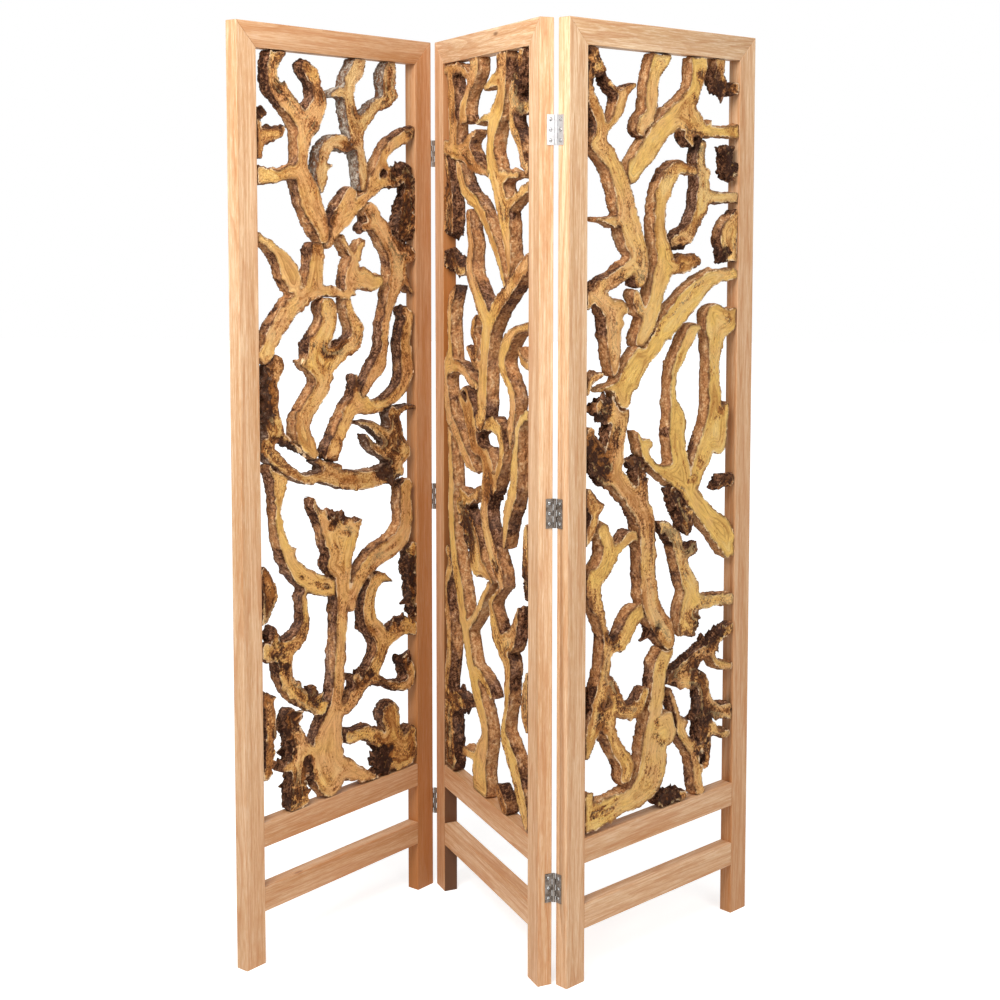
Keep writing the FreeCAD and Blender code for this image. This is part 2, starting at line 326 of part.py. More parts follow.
RIGHT_LIMB_SHARES = {
    "bird_limb": [
        [(0.045, 0.996, 0.026), (0.06, 0.976, 0.036), (0.102, 0.971, 0.02)],
        [(0.04, 0.975, 0.026), (0.018, 0.96, 0.024), (0.018, 0.942, 0.024), (0.045, 0.928, 0.034),
         (0.08, 0.908, 0.036), (0.085, 0.888, 0.044)],
        [(0.06, 0.88, 0.046), (0.12, 0.868, 0.048), (0.17, 0.85, 0.046), (0.214, 0.825, 0.055),
         (0.245, 0.8, 0.06), (0.265, 0.78, 0.066), (0.296, 0.76, 0.065), (0.332, 0.742, 0.052),
         (0.345, 0.722, 0.048), (0.33, 0.708, 0.036)],
        [(0.17, 0.783, 0.03), (0.11, 0.785, 0.012), (0.06, 0.787, 0.011)],
        [(0.11, 0.898, 0.026), (0.145, 0.906, 0.022), (0.19, 0.92, 0.028), (0.212, 0.94, 0.03),
         (0.25, 0.95, 0.02), (0.29, 0.955, 0.012)],
        [(0.19, 0.945, 0.02), (0.13, 0.955, 0.012), (0.112, 0.964, 0.007)],
        [(0.3, 0.73, 0.03), (0.25, 0.722, 0.04), (0.17, 0.71, 0.036), (0.1, 0.705, 0.031),
         (0.058, 0.703, 0.02)],
        [(0.03, 0.692, 0.026), (0.1, 0.685, 0.036), (0.16, 0.67, 0.056), (0.215, 0.675, 0.038),
         (0.245, 0.67, 0.016)],
        [(0.165, 0.665, 0.056), (0.168, 0.645, 0.052), (0.172, 0.625, 0.046), (0.176, 0.606, 0.036),
         (0.175, 0.592, 0.018)],
        [(0.03, 0.69, 0.024), (0.015, 0.68, 0.02)],
    ],
    "big_bough": [
        [(0.28, 0.843, 0.04), (0.33, 0.86, 0.05), (0.4, 0.88, 0.056), (0.48, 0.905, 0.056),
         (0.56, 0.92, 0.056), (0.64, 0.937, 0.056), (0.69, 0.955, 0.042), (0.708, 0.975, 0.05),
         (0.716, 1, 0.058)],
        [(0.62, 0.918, 0.055), (0.68, 0.915, 0.06), (0.74, 0.905, 0.041), (0.81, 0.903, 0.031),
         (0.9, 0.903, 0.026), (1, 0.905, 0.036)],
        [(0.79, 0.91, 0.018), (0.802, 0.918, 0.007)],
        [(0.64, 0.896, 0.028), (0.672, 0.886, 0.02)],
    ],
    "loop_limb": [
        [(0.69, 0.85, 0.018), (0.63, 0.853, 0.029), (0.57, 0.855, 0.031), (0.53, 0.843, 0.046),
         (0.494, 0.828, 0.05), (0.465, 0.808, 0.04), (0.458, 0.785, 0.04), (0.47, 0.76, 0.046),
         (0.49, 0.735, 0.055), (0.47, 0.712, 0.06), (0.44, 0.69, 0.05), (0.415, 0.668, 0.049),
         (0.38, 0.648, 0.05), (0.345, 0.634, 0.042)],
        [(0.52, 0.725, 0.04), (0.6, 0.722, 0.026), (0.665, 0.72, 0.012)],
        [(0.6, 0.734, 0.026), (0.66, 0.73, 0.034), (0.712, 0.731, 0.028)],
        [(0.31, 0.69, 0.024), (0.34, 0.67, 0.03)],
    ],
    "post_root": [
        [(0.735, 0.884, 0.034), (0.73, 0.86, 0.031), (0.75, 0.84, 0.036), (0.75, 0.82, 0.046),
         (0.738, 0.802, 0.045), (0.7, 0.785, 0.032), (0.66, 0.768, 0.041), (0.61, 0.76, 0.045),
         (0.556, 0.757, 0.028)],
        [(0.76, 0.817, 0.036), (0.83, 0.816, 0.03), (0.9, 0.815, 0.028), (1, 0.815, 0.028)],
        [(0.78, 0.848, 0.02), (0.792, 0.846, 0.01)],
    ],
    "cross_limb": [
        [(1, 0.712, 0.026), (0.91, 0.711, 0.029), (0.85, 0.709, 0.036), (0.78, 0.702, 0.046),
         (0.7, 0.688, 0.058), (0.61, 0.668, 0.065), (0.52, 0.648, 0.062), (0.43, 0.629, 0.058),
         (0.35, 0.608, 0.06), (0.28, 0.587, 0.065), (0.232, 0.57, 0.06), (0.238, 0.557, 0.045)],
        [(0.175, 0.574, 0.022), (0.12, 0.573, 0.015), (0.088, 0.572, 0.008)],
    ],
    "burl_s_limb": [
        [(0.085, 0.548, 0.032), (0.16, 0.545, 0.055), (0.225, 0.538, 0.046), (0.205, 0.52, 0.055),
         (0.182, 0.5, 0.056), (0.182, 0.48, 0.056), (0.172, 0.465, 0.055), (0.235, 0.445, 0.046),
         (0.29, 0.43, 0.05), (0.35, 0.412, 0.06), (0.388, 0.39, 0.06), (0.396, 0.36, 0.056),
         (0.396, 0.33, 0.056), (0.406, 0.3, 0.056), (0.432, 0.275, 0.056), (0.48, 0.255, 0.056),
         (0.52, 0.24, 0.06), (0.545, 0.227, 0.046)],
        [(0.015, 0.518, 0.03), (0.055, 0.497, 0.05), (0.09, 0.478, 0.056), (0.135, 0.462, 0.05)],
        [(0.345, 0.47, 0.026), (0.35, 0.452, 0.03), (0.375, 0.432, 0.03)],
        [(0.25, 0.479, 0.007), (0.31, 0.472, 0.018), (0.345, 0.47, 0.024)],
    ],
    "main_bough": [
        [(0.325, 0.512, 0.01), (0.345, 0.5, 0.02), (0.372, 0.485, 0.025), (0.42, 0.468, 0.022),
         (0.49, 0.455, 0.031), (0.56, 0.45, 0.05), (0.62, 0.44, 0.055), (0.68, 0.42, 0.05),
         (0.75, 0.4, 0.05), (0.82, 0.38, 0.056), (0.89, 0.365, 0.065), (0.932, 0.35, 0.066),
         (0.955, 0.336, 0.052)],
        [(0.36, 0.5, 0.016), (0.408, 0.494, 0.02)],
        [(0.732, 0.642, 0.016), (0.68, 0.637, 0.036), (0.636, 0.619, 0.036), (0.6, 0.602, 0.034),
         (0.566, 0.585, 0.026), (0.556, 0.565, 0.02), (0.562, 0.545, 0.03), (0.59, 0.525, 0.055),
         (0.586, 0.505, 0.06), (0.592, 0.485, 0.056), (0.612, 0.465, 0.056), (0.632, 0.448, 0.05)],
        [(0.985, 0.655, 0.04), (0.94, 0.648, 0.06), (0.88, 0.648, 0.074), (0.835, 0.655, 0.058),
         (0.85, 0.625, 0.06), (0.838, 0.595, 0.038), (0.84, 0.566, 0.042), (0.85, 0.54, 0.05),
         (0.84, 0.52, 0.05), (0.82, 0.5, 0.056), (0.8, 0.485, 0.06), (0.762, 0.465, 0.06),
         (0.732, 0.45, 0.045), (0.738, 0.434, 0.022)],
        [(0.925, 0.53, 0.028), (0.902, 0.512, 0.04), (0.89, 0.492, 0.05), (0.882, 0.48, 0.046)],
    ],
    "mid_root": [
        [(0.478, 0.387, 0.012), (0.53, 0.378, 0.03), (0.58, 0.365, 0.036), (0.61, 0.345, 0.037),
         (0.632, 0.325, 0.039), (0.662, 0.305, 0.046), (0.7, 0.288, 0.05), (0.682, 0.268, 0.06),
         (0.65, 0.25, 0.041), (0.634, 0.234, 0.018)],
        [(0.7, 0.272, 0.045), (0.78, 0.268, 0.035), (0.86, 0.267, 0.03), (0.93, 0.264, 0.028),
         (1, 0.261, 0.028)],
        [(0.7, 0.236, 0.044), (0.735, 0.246, 0.028)],
        [(0.65, 0.34, 0.028), (0.702, 0.345, 0.032)],
        [(0.568, 0.426, 0.03), (0.62, 0.41, 0.045), (0.655, 0.39, 0.046), (0.664, 0.376, 0.034)],
    ],
    "long_yoke": [
        [(0.112, 0.393, 0.036), (0.136, 0.375, 0.039), (0.145, 0.355, 0.05), (0.1, 0.34, 0.046),
         (0.048, 0.325, 0.05), (0.06, 0.305, 0.046), (0.09, 0.288, 0.031), (0.115, 0.268, 0.021),
         (0.14, 0.245, 0.031), (0.136, 0.225, 0.036), (0.12, 0.2, 0.034), (0.095, 0.175, 0.046),
         (0.07, 0.15, 0.046), (0.04, 0.13, 0.042), (0.012, 0.108, 0.024)],
        [(0.17, 0.36, 0.03), (0.23, 0.37, 0.026), (0.29, 0.378, 0.031), (0.326, 0.375, 0.025)],
        [(0.16, 0.24, 0.036), (0.22, 0.24, 0.041), (0.27, 0.255, 0.043), (0.31, 0.27, 0.046),
         (0.36, 0.275, 0.036), (0.388, 0.27, 0.018)],
        [(0.135, 0.148, 0.052), (0.165, 0.128, 0.038), (0.195, 0.108, 0.038), (0.24, 0.09, 0.04),
         (0.275, 0.075, 0.04), (0.266, 0.062, 0.042)],
        [(0.165, 0.195, 0.02), (0.19, 0.175, 0.036), (0.23, 0.155, 0.041), (0.29, 0.147, 0.036),
         (0.35, 0.15, 0.036), (0.385, 0.165, 0.028)],
    ],
    "bottom_sweep": [
        [(0.53, 0.213, 0.046), (0.496, 0.2, 0.05), (0.476, 0.18, 0.05), (0.466, 0.155, 0.049),
         (0.446, 0.13, 0.046), (0.432, 0.11, 0.056), (0.44, 0.086, 0.08), (0.442, 0.066, 0.095),
         (0.42, 0.05, 0.095), (0.37, 0.038, 0.08), (0.3, 0.03, 0.06), (0.22, 0.027, 0.055),
         (0.13, 0.024, 0.06), (0.05, 0.023, 0.064), (0, 0.023, 0.064)],
        [(0.53, 0.116, 0.056), (0.542, 0.098, 0.056)],
        [(0.025, 0.048, 0.036), (0.01, 0.04, 0.04)],
    ],
    "right_tangle": [
        [(0.536, 0.172, 0.018), (0.6, 0.178, 0.035), (0.68, 0.186, 0.04), (0.77, 0.195, 0.036),
         (0.86, 0.205, 0.031), (0.93, 0.217, 0.026), (1, 0.221, 0.03)],
        [(0.84, 0.195, 0.026), (0.88, 0.178, 0.021), (0.94, 0.17, 0.025), (1, 0.168, 0.02)],
        [(0.62, 0.166, 0.03), (0.7, 0.165, 0.036), (0.768, 0.16, 0.045), (0.79, 0.145, 0.041),
         (0.812, 0.125, 0.046), (0.86, 0.115, 0.036), (0.92, 0.108, 0.036), (1, 0.102, 0.04)],
        [(0.8, 0.12, 0.046), (0.8, 0.095, 0.046), (0.806, 0.07, 0.036), (0.822, 0.05, 0.025),
         (0.8, 0.038, 0.012)],
        [(0.84, 0.09, 0.03), (0.9, 0.078, 0.021), (0.965, 0.072, 0.025)],
        [(0.772, 0.11, 0.02), (0.728, 0.108, 0.008)],
        [(0.552, 0.158, 0.018), (0.588, 0.135, 0.021), (0.616, 0.108, 0.031), (0.665, 0.082, 0.031),
         (0.718, 0.068, 0.036), (0.74, 0.05, 0.036), (0.75, 0.03, 0.034), (0.765, 0.008, 0.03)],
        [(0.61, 0.112, 0.03), (0.67, 0.108, 0.016)],
    ],
    "edge_knots": [
        [(0.948, 0.878, 0.024), (0.942, 0.861, 0.034), (0.955, 0.846, 0.026), (1, 0.857, 0.02)],
        [(0.93, 0.872, 0.016), (0.898, 0.882, 0.009)],
        [(1, 0.79, 0.034), (0.95, 0.772, 0.055), (0.93, 0.757, 0.06), (0.955, 0.745, 0.05),
         (1, 0.738, 0.036)],
        [(0, 0.572, 0.022), (0.03, 0.587, 0.022), (0.095, 0.59, 0.013)],
        [(0.018, 0.442, 0.024), (0.055, 0.425, 0.046), (0.112, 0.425, 0.012)],
        [(0.05, 0.405, 0.032), (0.025, 0.39, 0.027), (0, 0.38, 0.02)],
        [(0.868, 0.42, 0.009), (0.92, 0.428, 0.028), (1, 0.43, 0.024)],
        [(0.5, 0.014, 0.034), (0.555, 0.011, 0.034), (0.61, 0.01, 0.03), (0.655, 0.007, 0.026)],
        [(0.864, 1, 0.036), (0.864, 0.985, 0.032), (0.862, 0.97, 0.048), (0.905, 0.96, 0.036),
         (1, 0.963, 0.024)],
        [(0.472, 1, 0.06), (0.44, 0.985, 0.05), (0.415, 0.968, 0.044), (0.4, 0.945, 0.041),
         (0.395, 0.925, 0.038), (0.39, 0.907, 0.024)],
        [(0.355, 0.918, 0.024), (0.325, 0.902, 0.03), (0.352, 0.894, 0.018)],
    ],
}

doc = FreeCAD.newDocument("folding_screen")
os.makedirs("parts", exist_ok=True)

sheet = doc.addObject("Spreadsheet::Sheet", "Sizes")
for row, (name, value) in enumerate(SIZES.items(), start=1):
    sheet.set("A" + str(row), name)
    sheet.set("B" + str(row), str(value))
    sheet.setAlias("B" + str(row), name)
doc.recompute()

nodes = []


def size(name):
    return float(getattr(sheet, name))


def amount(words):
    total = 0.0
    sign = 1
    for word in words.split():
        if word == "+":
            sign = 1
        elif word == "-":
            sign = -1
        else:
            total += sign * size(word)
    return total


def formula(words):
    return " ".join(word if word in ("+", "-") else "Sizes." + word for word in words.split())


def panel_sketch(body, name, corners, depth_words):
    """Closed outline on the panel's front plane, moved back by the given depth."""
    sketch = body.newObject("Sketcher::SketchObject", name)
    plane = [item for item in body.Origin.OriginFeatures if item.Role == "XZ_Plane"][0]
    sketch.AttachmentSupport = (plane, [""])
    sketch.MapMode = "FlatFace"
    if depth_words:
        sketch.AttachmentOffset = FreeCAD.Placement(
            FreeCAD.Vector(0, 0, -amount(depth_words)), FreeCAD.Rotation())
        sketch.setExpression(".AttachmentOffset.Base.z", "-(" + formula(depth_words) + ")")
    places = [FreeCAD.Vector(amount(across), amount(up), 0) for across, up in corners]
    for index, place in enumerate(places):
        sketch.addGeometry(Part.LineSegment(place, places[(index + 1) % len(places)]), False)
    for index in range(len(places)):
        sketch.addConstraint(Sketcher.Constraint("Coincident", index, 2, (index + 1) % len(places), 1))
    for index, (across, up) in enumerate(corners):
        for direction, words in (("DistanceX", across), ("DistanceY", up)):
            number = sketch.addConstraint(
                Sketcher.Constraint(direction, -1, 1, index, 1, amount(words)))
            if words:
                sketch.setExpression("Constraints[%d]" % number, formula(words))
    return sketch


def pad(body, name, sketch, words):
    feature = body.newObject("PartDesign::Pad", name)
    feature.Profile = sketch
    feature.Length = amount(words)
    feature.setExpression("Length", formula(words))
    feature.Reversed = True
    return feature


def pocket(body, name, sketch, words):
    feature = body.newObject("PartDesign::Pocket", name)
    feature.Profile = sketch
    feature.Length = amount(words)
    feature.setExpression("Length", formula(words))
    return feature


def square_corners(left, right, low, high):
    return [(left, low), (right, low), (right, high), (left, high)]


def block(xs, ys, zs):
    corner = FreeCAD.Vector(min(xs), min(ys), min(zs))
    return Part.makeBox(max(xs) - min(xs), max(ys) - min(ys), max(zs) - min(zs), corner)


def rod(radius, start, end):
    step = end.sub(start)
    return Part.makeCylinder(radius, step.Length, start, step)


def shaped(label, shape, placement):
    feature = doc.addObject("Part::Feature", label)
    feature.Label = label
    feature.Shape = shape
    feature.Placement = placement
    nodes.append(feature)
    return feature


def bored(label, body, bores, placement):
    """A timber member: its body less the holes for dowels and screws."""
    member = body
    if bores:
        tool = doc.addObject("Part::Feature", label + "_bores")
        tool.Shape = Part.makeCompound(bores)
        member = doc.addObject("Part::Cut", label + "_bored")
        member.Base = body
        member.Tool = tool
    member.Label = label
    member.Placement = placement
    nodes.append(member)


def stile_body(label, left_side):
    body = doc.addObject("PartDesign::Body", label + "_blank")
    if left_side:
        outer, inner, mortise_end = "", "member_width", "member_width - tenon_length - tenon_clearance"
        inner_open = "member_width + cut_overrun"
    else:
        outer, inner = "panel_width", "panel_width - member_width"
        mortise_end = "panel_width - member_width + tenon_length + tenon_clearance"
        inner_open = "panel_width - member_width - cut_overrun"
    corners = [(outer, ""), (inner, ""), (inner, "screen_height - member_width"), (outer, "screen_height")]
    pad(body, label + "_length", panel_sketch(body, label + "_outline", corners, ""), "frame_depth")
    for rail in ("bottom_rail_base", "lattice_rail_base"):
        low = rail + " + tenon_shoulder - tenon_clearance"
        high = rail + " + member_width - tenon_shoulder + tenon_clearance"
        outline = panel_sketch(body, label + "_" + rail + "_mortise",
                               square_corners(mortise_end, inner_open, low, high),
                               "tenon_thickness - tenon_clearance")
        pocket(body, label + "_" + rail + "_hole", outline,
               "tenon_thickness + tenon_clearance + tenon_clearance")
    doc.recompute()
    return body


def top_rail_body(label):
    body = doc.addObject("PartDesign::Body", label + "_blank")
    corners = [("", "screen_height"), ("member_width", "screen_height - member_width"),
               ("panel_width - member_width", "screen_height - member_width"),
               ("panel_width", "screen_height")]
    pad(body, label + "_length", panel_sketch(body, label + "_outline", corners, ""), "frame_depth")
    doc.recompute()
    return body


def rail_body(label, base):
    body = doc.addObject("PartDesign::Body", label + "_blank")
    outline = square_corners("member_width", "panel_width - member_width", base, base + " + member_width")
    pad(body, label + "_length", panel_sketch(body, label + "_outline", outline, ""), "frame_depth")
    tenons = square_corners("member_width - tenon_length", "panel_width - member_width + tenon_length",
                            base + " + tenon_shoulder", base + " + member_width - tenon_shoulder")
    pad(body, label + "_tenons", panel_sketch(body, label + "_tenon_outline", tenons, "tenon_thickness"),
        "tenon_thickness")
    doc.recompute()
    return body


def mitre_dowels(radius):
    """Two dowels across each top corner's mitre, in the middle of the frame's depth."""
    middle = size("member_width") / 2
    half = size("dowel_length") / 2 / math.sqrt(2)
    rods = {"left": [], "right": []}
    for side, corner, inward in (("left", 0.0, 1), ("right", size("panel_width"), -1)):
        for place in (-1, 1):
            shift = place * size("dowel_spacing") / 2 / math.sqrt(2)
            x = corner + inward * (middle + shift)
            z = size("screen_height") - middle - shift
            low = FreeCAD.Vector(x - inward * half, size("frame_depth") / 2, z - half)
            high = FreeCAD.Vector(x + inward * half, size("frame_depth") / 2, z + half)
            rods[side].append(rod(radius, low, high))
    return rods


def edge_spot(edge, face, out, proud, z):
    """Point out from a panel's edge and proud of its face: edge 1 is the right edge, face 1 the back."""
    x = size("panel_width") + out if edge > 0 else -out
    y = size("frame_depth") + proud if face > 0 else -proud
    return FreeCAD.Vector(x, y, z)


def edge_block(edge, face, outs, prouds, zs):
    first = edge_spot(edge, face, outs[0], prouds[0], zs[0])
    last = edge_spot(edge, face, outs[1], prouds[1], zs[1])
    return block((first.x, last.x), (first.y, last.y), (first.z, last.z))


def hinge_leaf(edge, face, centre, first_knuckle):
    """One leaf on a panel's edge with every second knuckle, counted from first_knuckle."""
    half = size("hinge_height") / 2
    outer = size("knuckle_diameter") / 2
    thick = size("leaf_thickness")
    gap = size("knuckle_break")
    pitch = size("hinge_height") / KNUCKLES_PER_HINGE
    leaf = edge_block(edge, face, (0, thick), (-size("leaf_reach"), outer), (centre - half, centre + half))
    for number in range(KNUCKLES_PER_HINGE):
        low = centre - half + number * pitch
        if number % 2 == first_knuckle:
            inset = gap / 2
            leaf = leaf.fuse(rod(outer, edge_spot(edge, face, outer, outer, low + inset),
                                 edge_spot(edge, face, outer, outer, low + pitch - inset)))
        else:
            notch = edge_block(edge, face, (-size("cut_overrun"), thick + size("cut_overrun")),
                               (-gap, outer + size("cut_overrun")),
                               (low - gap / 2, low + pitch + gap / 2))
            leaf = leaf.cut(notch)
    for edge_gap in range(1, KNUCKLES_PER_HINGE):
        z = centre - half + edge_gap * pitch
        leaf = leaf.cut(edge_block(edge, face, (-size("cut_overrun"), outer + outer + size("cut_overrun")),
                                   (-gap, outer + outer + size("cut_overrun")), (z - gap / 2, z + gap / 2)))
    bore = size("pin_diameter") / 2 + size("fit_clearance")
    leaf = leaf.cut(rod(bore, edge_spot(edge, face, outer, outer, centre - half - size("cut_overrun")),
                        edge_spot(edge, face, outer, outer, centre + half + size("cut_overrun"))))
    for sink in hinge_screws(edge, face, centre, size("fit_clearance"), False):
        leaf = leaf.cut(sink)
    return leaf.removeSplitter()


def hinge_screws(edge, face, centre, extra, slotted):
    """Countersunk wood screws through one leaf; extra widens them into their holes."""
    shank = size("screw_shank_diameter") / 2 + extra
    head = size("screw_head_diameter") / 2 + extra
    thick = size("leaf_thickness")
    inward = FreeCAD.Vector(-edge, 0, 0)
    screws = []
    for number in range(SCREWS_PER_LEAF):
        z = centre + (number - (SCREWS_PER_LEAF - 1) / 2) * size("screw_spacing")
        top = edge_spot(edge, face, thick, -size("leaf_reach") / 2, z)
        screw = Part.makeCone(head, shank, thick, top, inward)
        screw = screw.fuse(Part.makeCylinder(shank, size("screw_length") + extra, top, inward))
        if slotted:
            half_slot = size("screw_slot_width") / 2
            reach = size("screw_head_diameter")
            screw = screw.cut(block((top.x - edge * size("screw_slot_depth"), top.x + edge * reach),
                                    (top.y - reach, top.y + reach), (z - half_slot, z + half_slot)))
        screws.append(screw.removeSplitter())
    return screws


def hinge_pin(edge, face, centre):
    half = size("hinge_height") / 2
    outer = size("knuckle_diameter") / 2
    return rod(size("pin_diameter") / 2, edge_spot(edge, face, outer, outer, centre - half),
               edge_spot(edge, face, outer, outer, centre + half))


def smooth_stroke(stroke):
    """The stroke's points in the drawn opening, with points added on a smooth curve through them."""
    points = [(x, z * DRAWN_TALLNESS, half) for x, z, half in stroke]
    result = []
    for index in range(len(points) - 1):
        before = points[max(index - 1, 0)]
        start = points[index]
        end = points[index + 1]
        after = points[min(index + 2, len(points) - 1)]
        for step in range(STEPS_PER_STRETCH):
            t = step / STEPS_PER_STRETCH
            result.append(tuple(
                ((2 * b) + (c - a) * t + (2 * a - 5 * b + 4 * c - d) * t ** 2
                 + (3 * b - a - 3 * c + d) * t ** 3) / 2
                for a, b, c, d in zip(before, start, end, after)))
    result.append(points[-1])
    return result


def capsule_distance(x, z, start, end):
    """Distance from a point to a rounded length whose half width runs from start's to end's."""
    run_x = end[0] - start[0]
    run_z = end[1] - start[1]
    length = run_x * run_x + run_z * run_z
    along = 0.0
    if length > 0:
        along = ((x - start[0]) * run_x + (z - start[1]) * run_z) / length
        along = min(1.0, max(0.0, along))
    return (math.hypot(x - start[0] - along * run_x, z - start[1] - along * run_z)
            - start[2] - along * (end[2] - start[2]))


def limb_field(strokes):
    """Distance to the limb at the grid's nodes in and near it, less than zero inside."""
    pitch = GRID_PITCH
    field = {}
    for stroke in strokes:
        points = smooth_stroke(stroke)
        for start, end in zip(points, points[1:]):
            reach = max(start[2], end[2]) + 2 * pitch
            columns = range(math.floor((min(start[0], end[0]) - reach) / pitch),
                            math.ceil((max(start[0], end[0]) + reach) / pitch) + 1)
            rows = range(math.floor((min(start[1], end[1]) - reach) / pitch),
                         math.ceil((max(start[1], end[1]) + reach) / pitch) + 1)
            for column in columns:
                for row in rows:
                    distance = capsule_distance(column * pitch, row * pitch, start, end)
                    if distance < field.get((column, row), 2 * pitch):
                        field[(column, row)] = distance
    return field


def zero_point(field, inside, outside):
    """The place between two nodes where the field crosses zero."""
    pitch = GRID_PITCH
    share = field[inside] / (field[inside] - field[outside])
    return ((inside[0] + share * (outside[0] - inside[0])) * pitch,
            (inside[1] + share * (outside[1] - inside[1])) * pitch)


def outline_loops(field):
    """The field's zero lines as closed loops, counterclockwise round what is inside."""
    follows = {}
    for column, row in field:
        square = [(column, row), (column + 1, row), (column + 1, row + 1), (column, row + 1)]
        if any(node not in field for node in square):
            continue
        for corners in ((square[0], square[1], square[2]), (square[0], square[2], square[3])):
            low = [node for node in corners if field[node] < 0]
            if len(low) in (0, 3):
                continue
            single_inside = len(low) == 1
            single = low[0] if single_inside else [node for node in corners if node not in low][0]
            at = corners.index(single)
            after, before = corners[(at + 1) % 3], corners[(at + 2) % 3]
            if single_inside:
                follows[(single, after)] = (single, before)
            else:
                follows[(before, single)] = (after, single)
    loops = []
    while follows:
        first = next(iter(follows))
        loop = []
        key = first
        while key in follows:
            loop.append(zero_point(field, *key))
            key = follows.pop(key)
        loops.append(loop)
    return loops


def loop_area(loop):
    return sum(a[0] * b[1] - b[0] * a[1] for a, b in zip(loop, loop[1:] + loop[:1])) / 2


def line_distance(point, start, end):
    run = math.hypot(end[0] - start[0], end[1] - start[1])
    if run == 0:
        return math.hypot(point[0] - start[0], point[1] - start[1])
    run_x = end[0] - start[0]
    run_z = end[1] - start[1]
    return abs(run_x * (point[1] - start[1]) - run_z * (point[0] - start[0])) / run


def thinned(chain):
    """Fewer points on an open chain, none moved by more than the outline's tolerance."""
    distances = [line_distance(point, chain[0], chain[-1]) for point in chain]
    furthest = max(range(len(chain)), key=distances.__getitem__)
    if distances[furthest] <= OUTLINE_TOLERANCE:
        return [chain[0], chain[-1]]
    return thinned(chain[:furthest + 1])[:-1] + thinned(chain[furthest:])


def loop_face(loop, depth):
    """A flat face inside a drawn loop, stretched from the drawn opening to the real one."""
    side = size("member_width")
    base = size("lattice_rail_base") + side
    stretch_x = size("panel_width") - 2 * side
    stretch_z = (size("screen_height") - side - base) / DRAWN_TALLNESS
    loop = [point for point, before in zip(loop, loop[-1:] + loop[:-1])
            if math.dist(point, before) > OUTLINE_TOLERANCE]
    middle = max(range(len(loop)), key=lambda index: math.dist(loop[index], loop[0]))
    outline = thinned(loop[:middle + 1])[:-1] + thinned(loop[middle:] + loop[:1])
    return Part.Face(Part.makePolygon([
        FreeCAD.Vector(side + x * stretch_x, depth, base + z * stretch_z) for x, z in outline]))


def branch_slabs(panel, limbs, placement):
    """Every limb of one panel as a flat slab, each trimmed to the opening and to the limbs before it."""
    pitch = GRID_PITCH
    gap = size("slab_clearance") / (size("panel_width") - 2 * size("member_width"))
    depth = size("slab_recess")
    thick = FreeCAD.Vector(0, size("frame_depth") - 2 * depth, 0)
    least = OFFCUT_SHARE ** 2
    taken = {}
    for name, strokes in limbs.items():
        untrimmed = limb_field(strokes)
        field = {}
        for node, distance in untrimmed.items():
            x = node[0] * pitch
            z = node[1] * pitch
            field[node] = max(distance, gap - x, x + gap - 1, gap - z, z + gap - DRAWN_TALLNESS,
                              gap - taken.get(node, 2 * pitch))
        for node, distance in untrimmed.items():
            taken[node] = min(distance, taken.get(node, 2 * pitch))
        loops = outline_loops(field)
        faces = [loop_face(loop, depth) for loop in loops if loop_area(loop) > least]
        holes = [loop_face(loop, depth) for loop in loops if loop_area(loop) < -least]
        for hole in holes:
            faces = [face.cut(hole) if face.BoundBox.intersect(hole.BoundBox) else face for face in faces]
        slabs = [face.extrude(thick) for shape in faces for face in shape.Faces]
        print(panel, name, "slabs", len(slabs), "of", len(loops), "loops")
        shaped(panel + "_" + name, Part.makeCompound(slabs), placement)


def frame_members(panel, placement, hinge_edges):
    """Two stiles, a mitred top rail and two tenoned lower rails, with the mitres' dowels."""
    holes = mitre_dowels(size("dowel_diameter") / 2 + size("fit_clearance"))
    bores = {"left": list(holes["left"]), "right": list(holes["right"])}
    for edge, face, centres in hinge_edges:
        for centre in centres:
            side = "right" if edge > 0 else "left"
            bores[side] += hinge_screws(edge, face, centre, size("fit_clearance"), False)
    bored(panel + "_left_stile", stile_body(panel + "_left_stile", True), bores["left"], placement)
    bored(panel + "_right_stile", stile_body(panel + "_right_stile", False), bores["right"], placement)
    bored(panel + "_top_rail", top_rail_body(panel + "_top_rail"),
          holes["left"] + holes["right"], placement)
    bored(panel + "_lattice_rail", rail_body(panel + "_lattice_rail", "lattice_rail_base"), [], placement)
    bored(panel + "_bottom_rail", rail_body(panel + "_bottom_rail", "bottom_rail_base"), [], placement)
    dowels = mitre_dowels(size("dowel_diameter") / 2)
    shaped(panel + "_mitre_dowels", Part.makeCompound(dowels["left"] + dowels["right"]), placement)


def direction(heading):
    angle = math.radians(heading)
    return (FreeCAD.Vector(math.cos(angle), math.sin(angle), 0),
            FreeCAD.Vector(-math.sin(angle), math.cos(angle), 0))


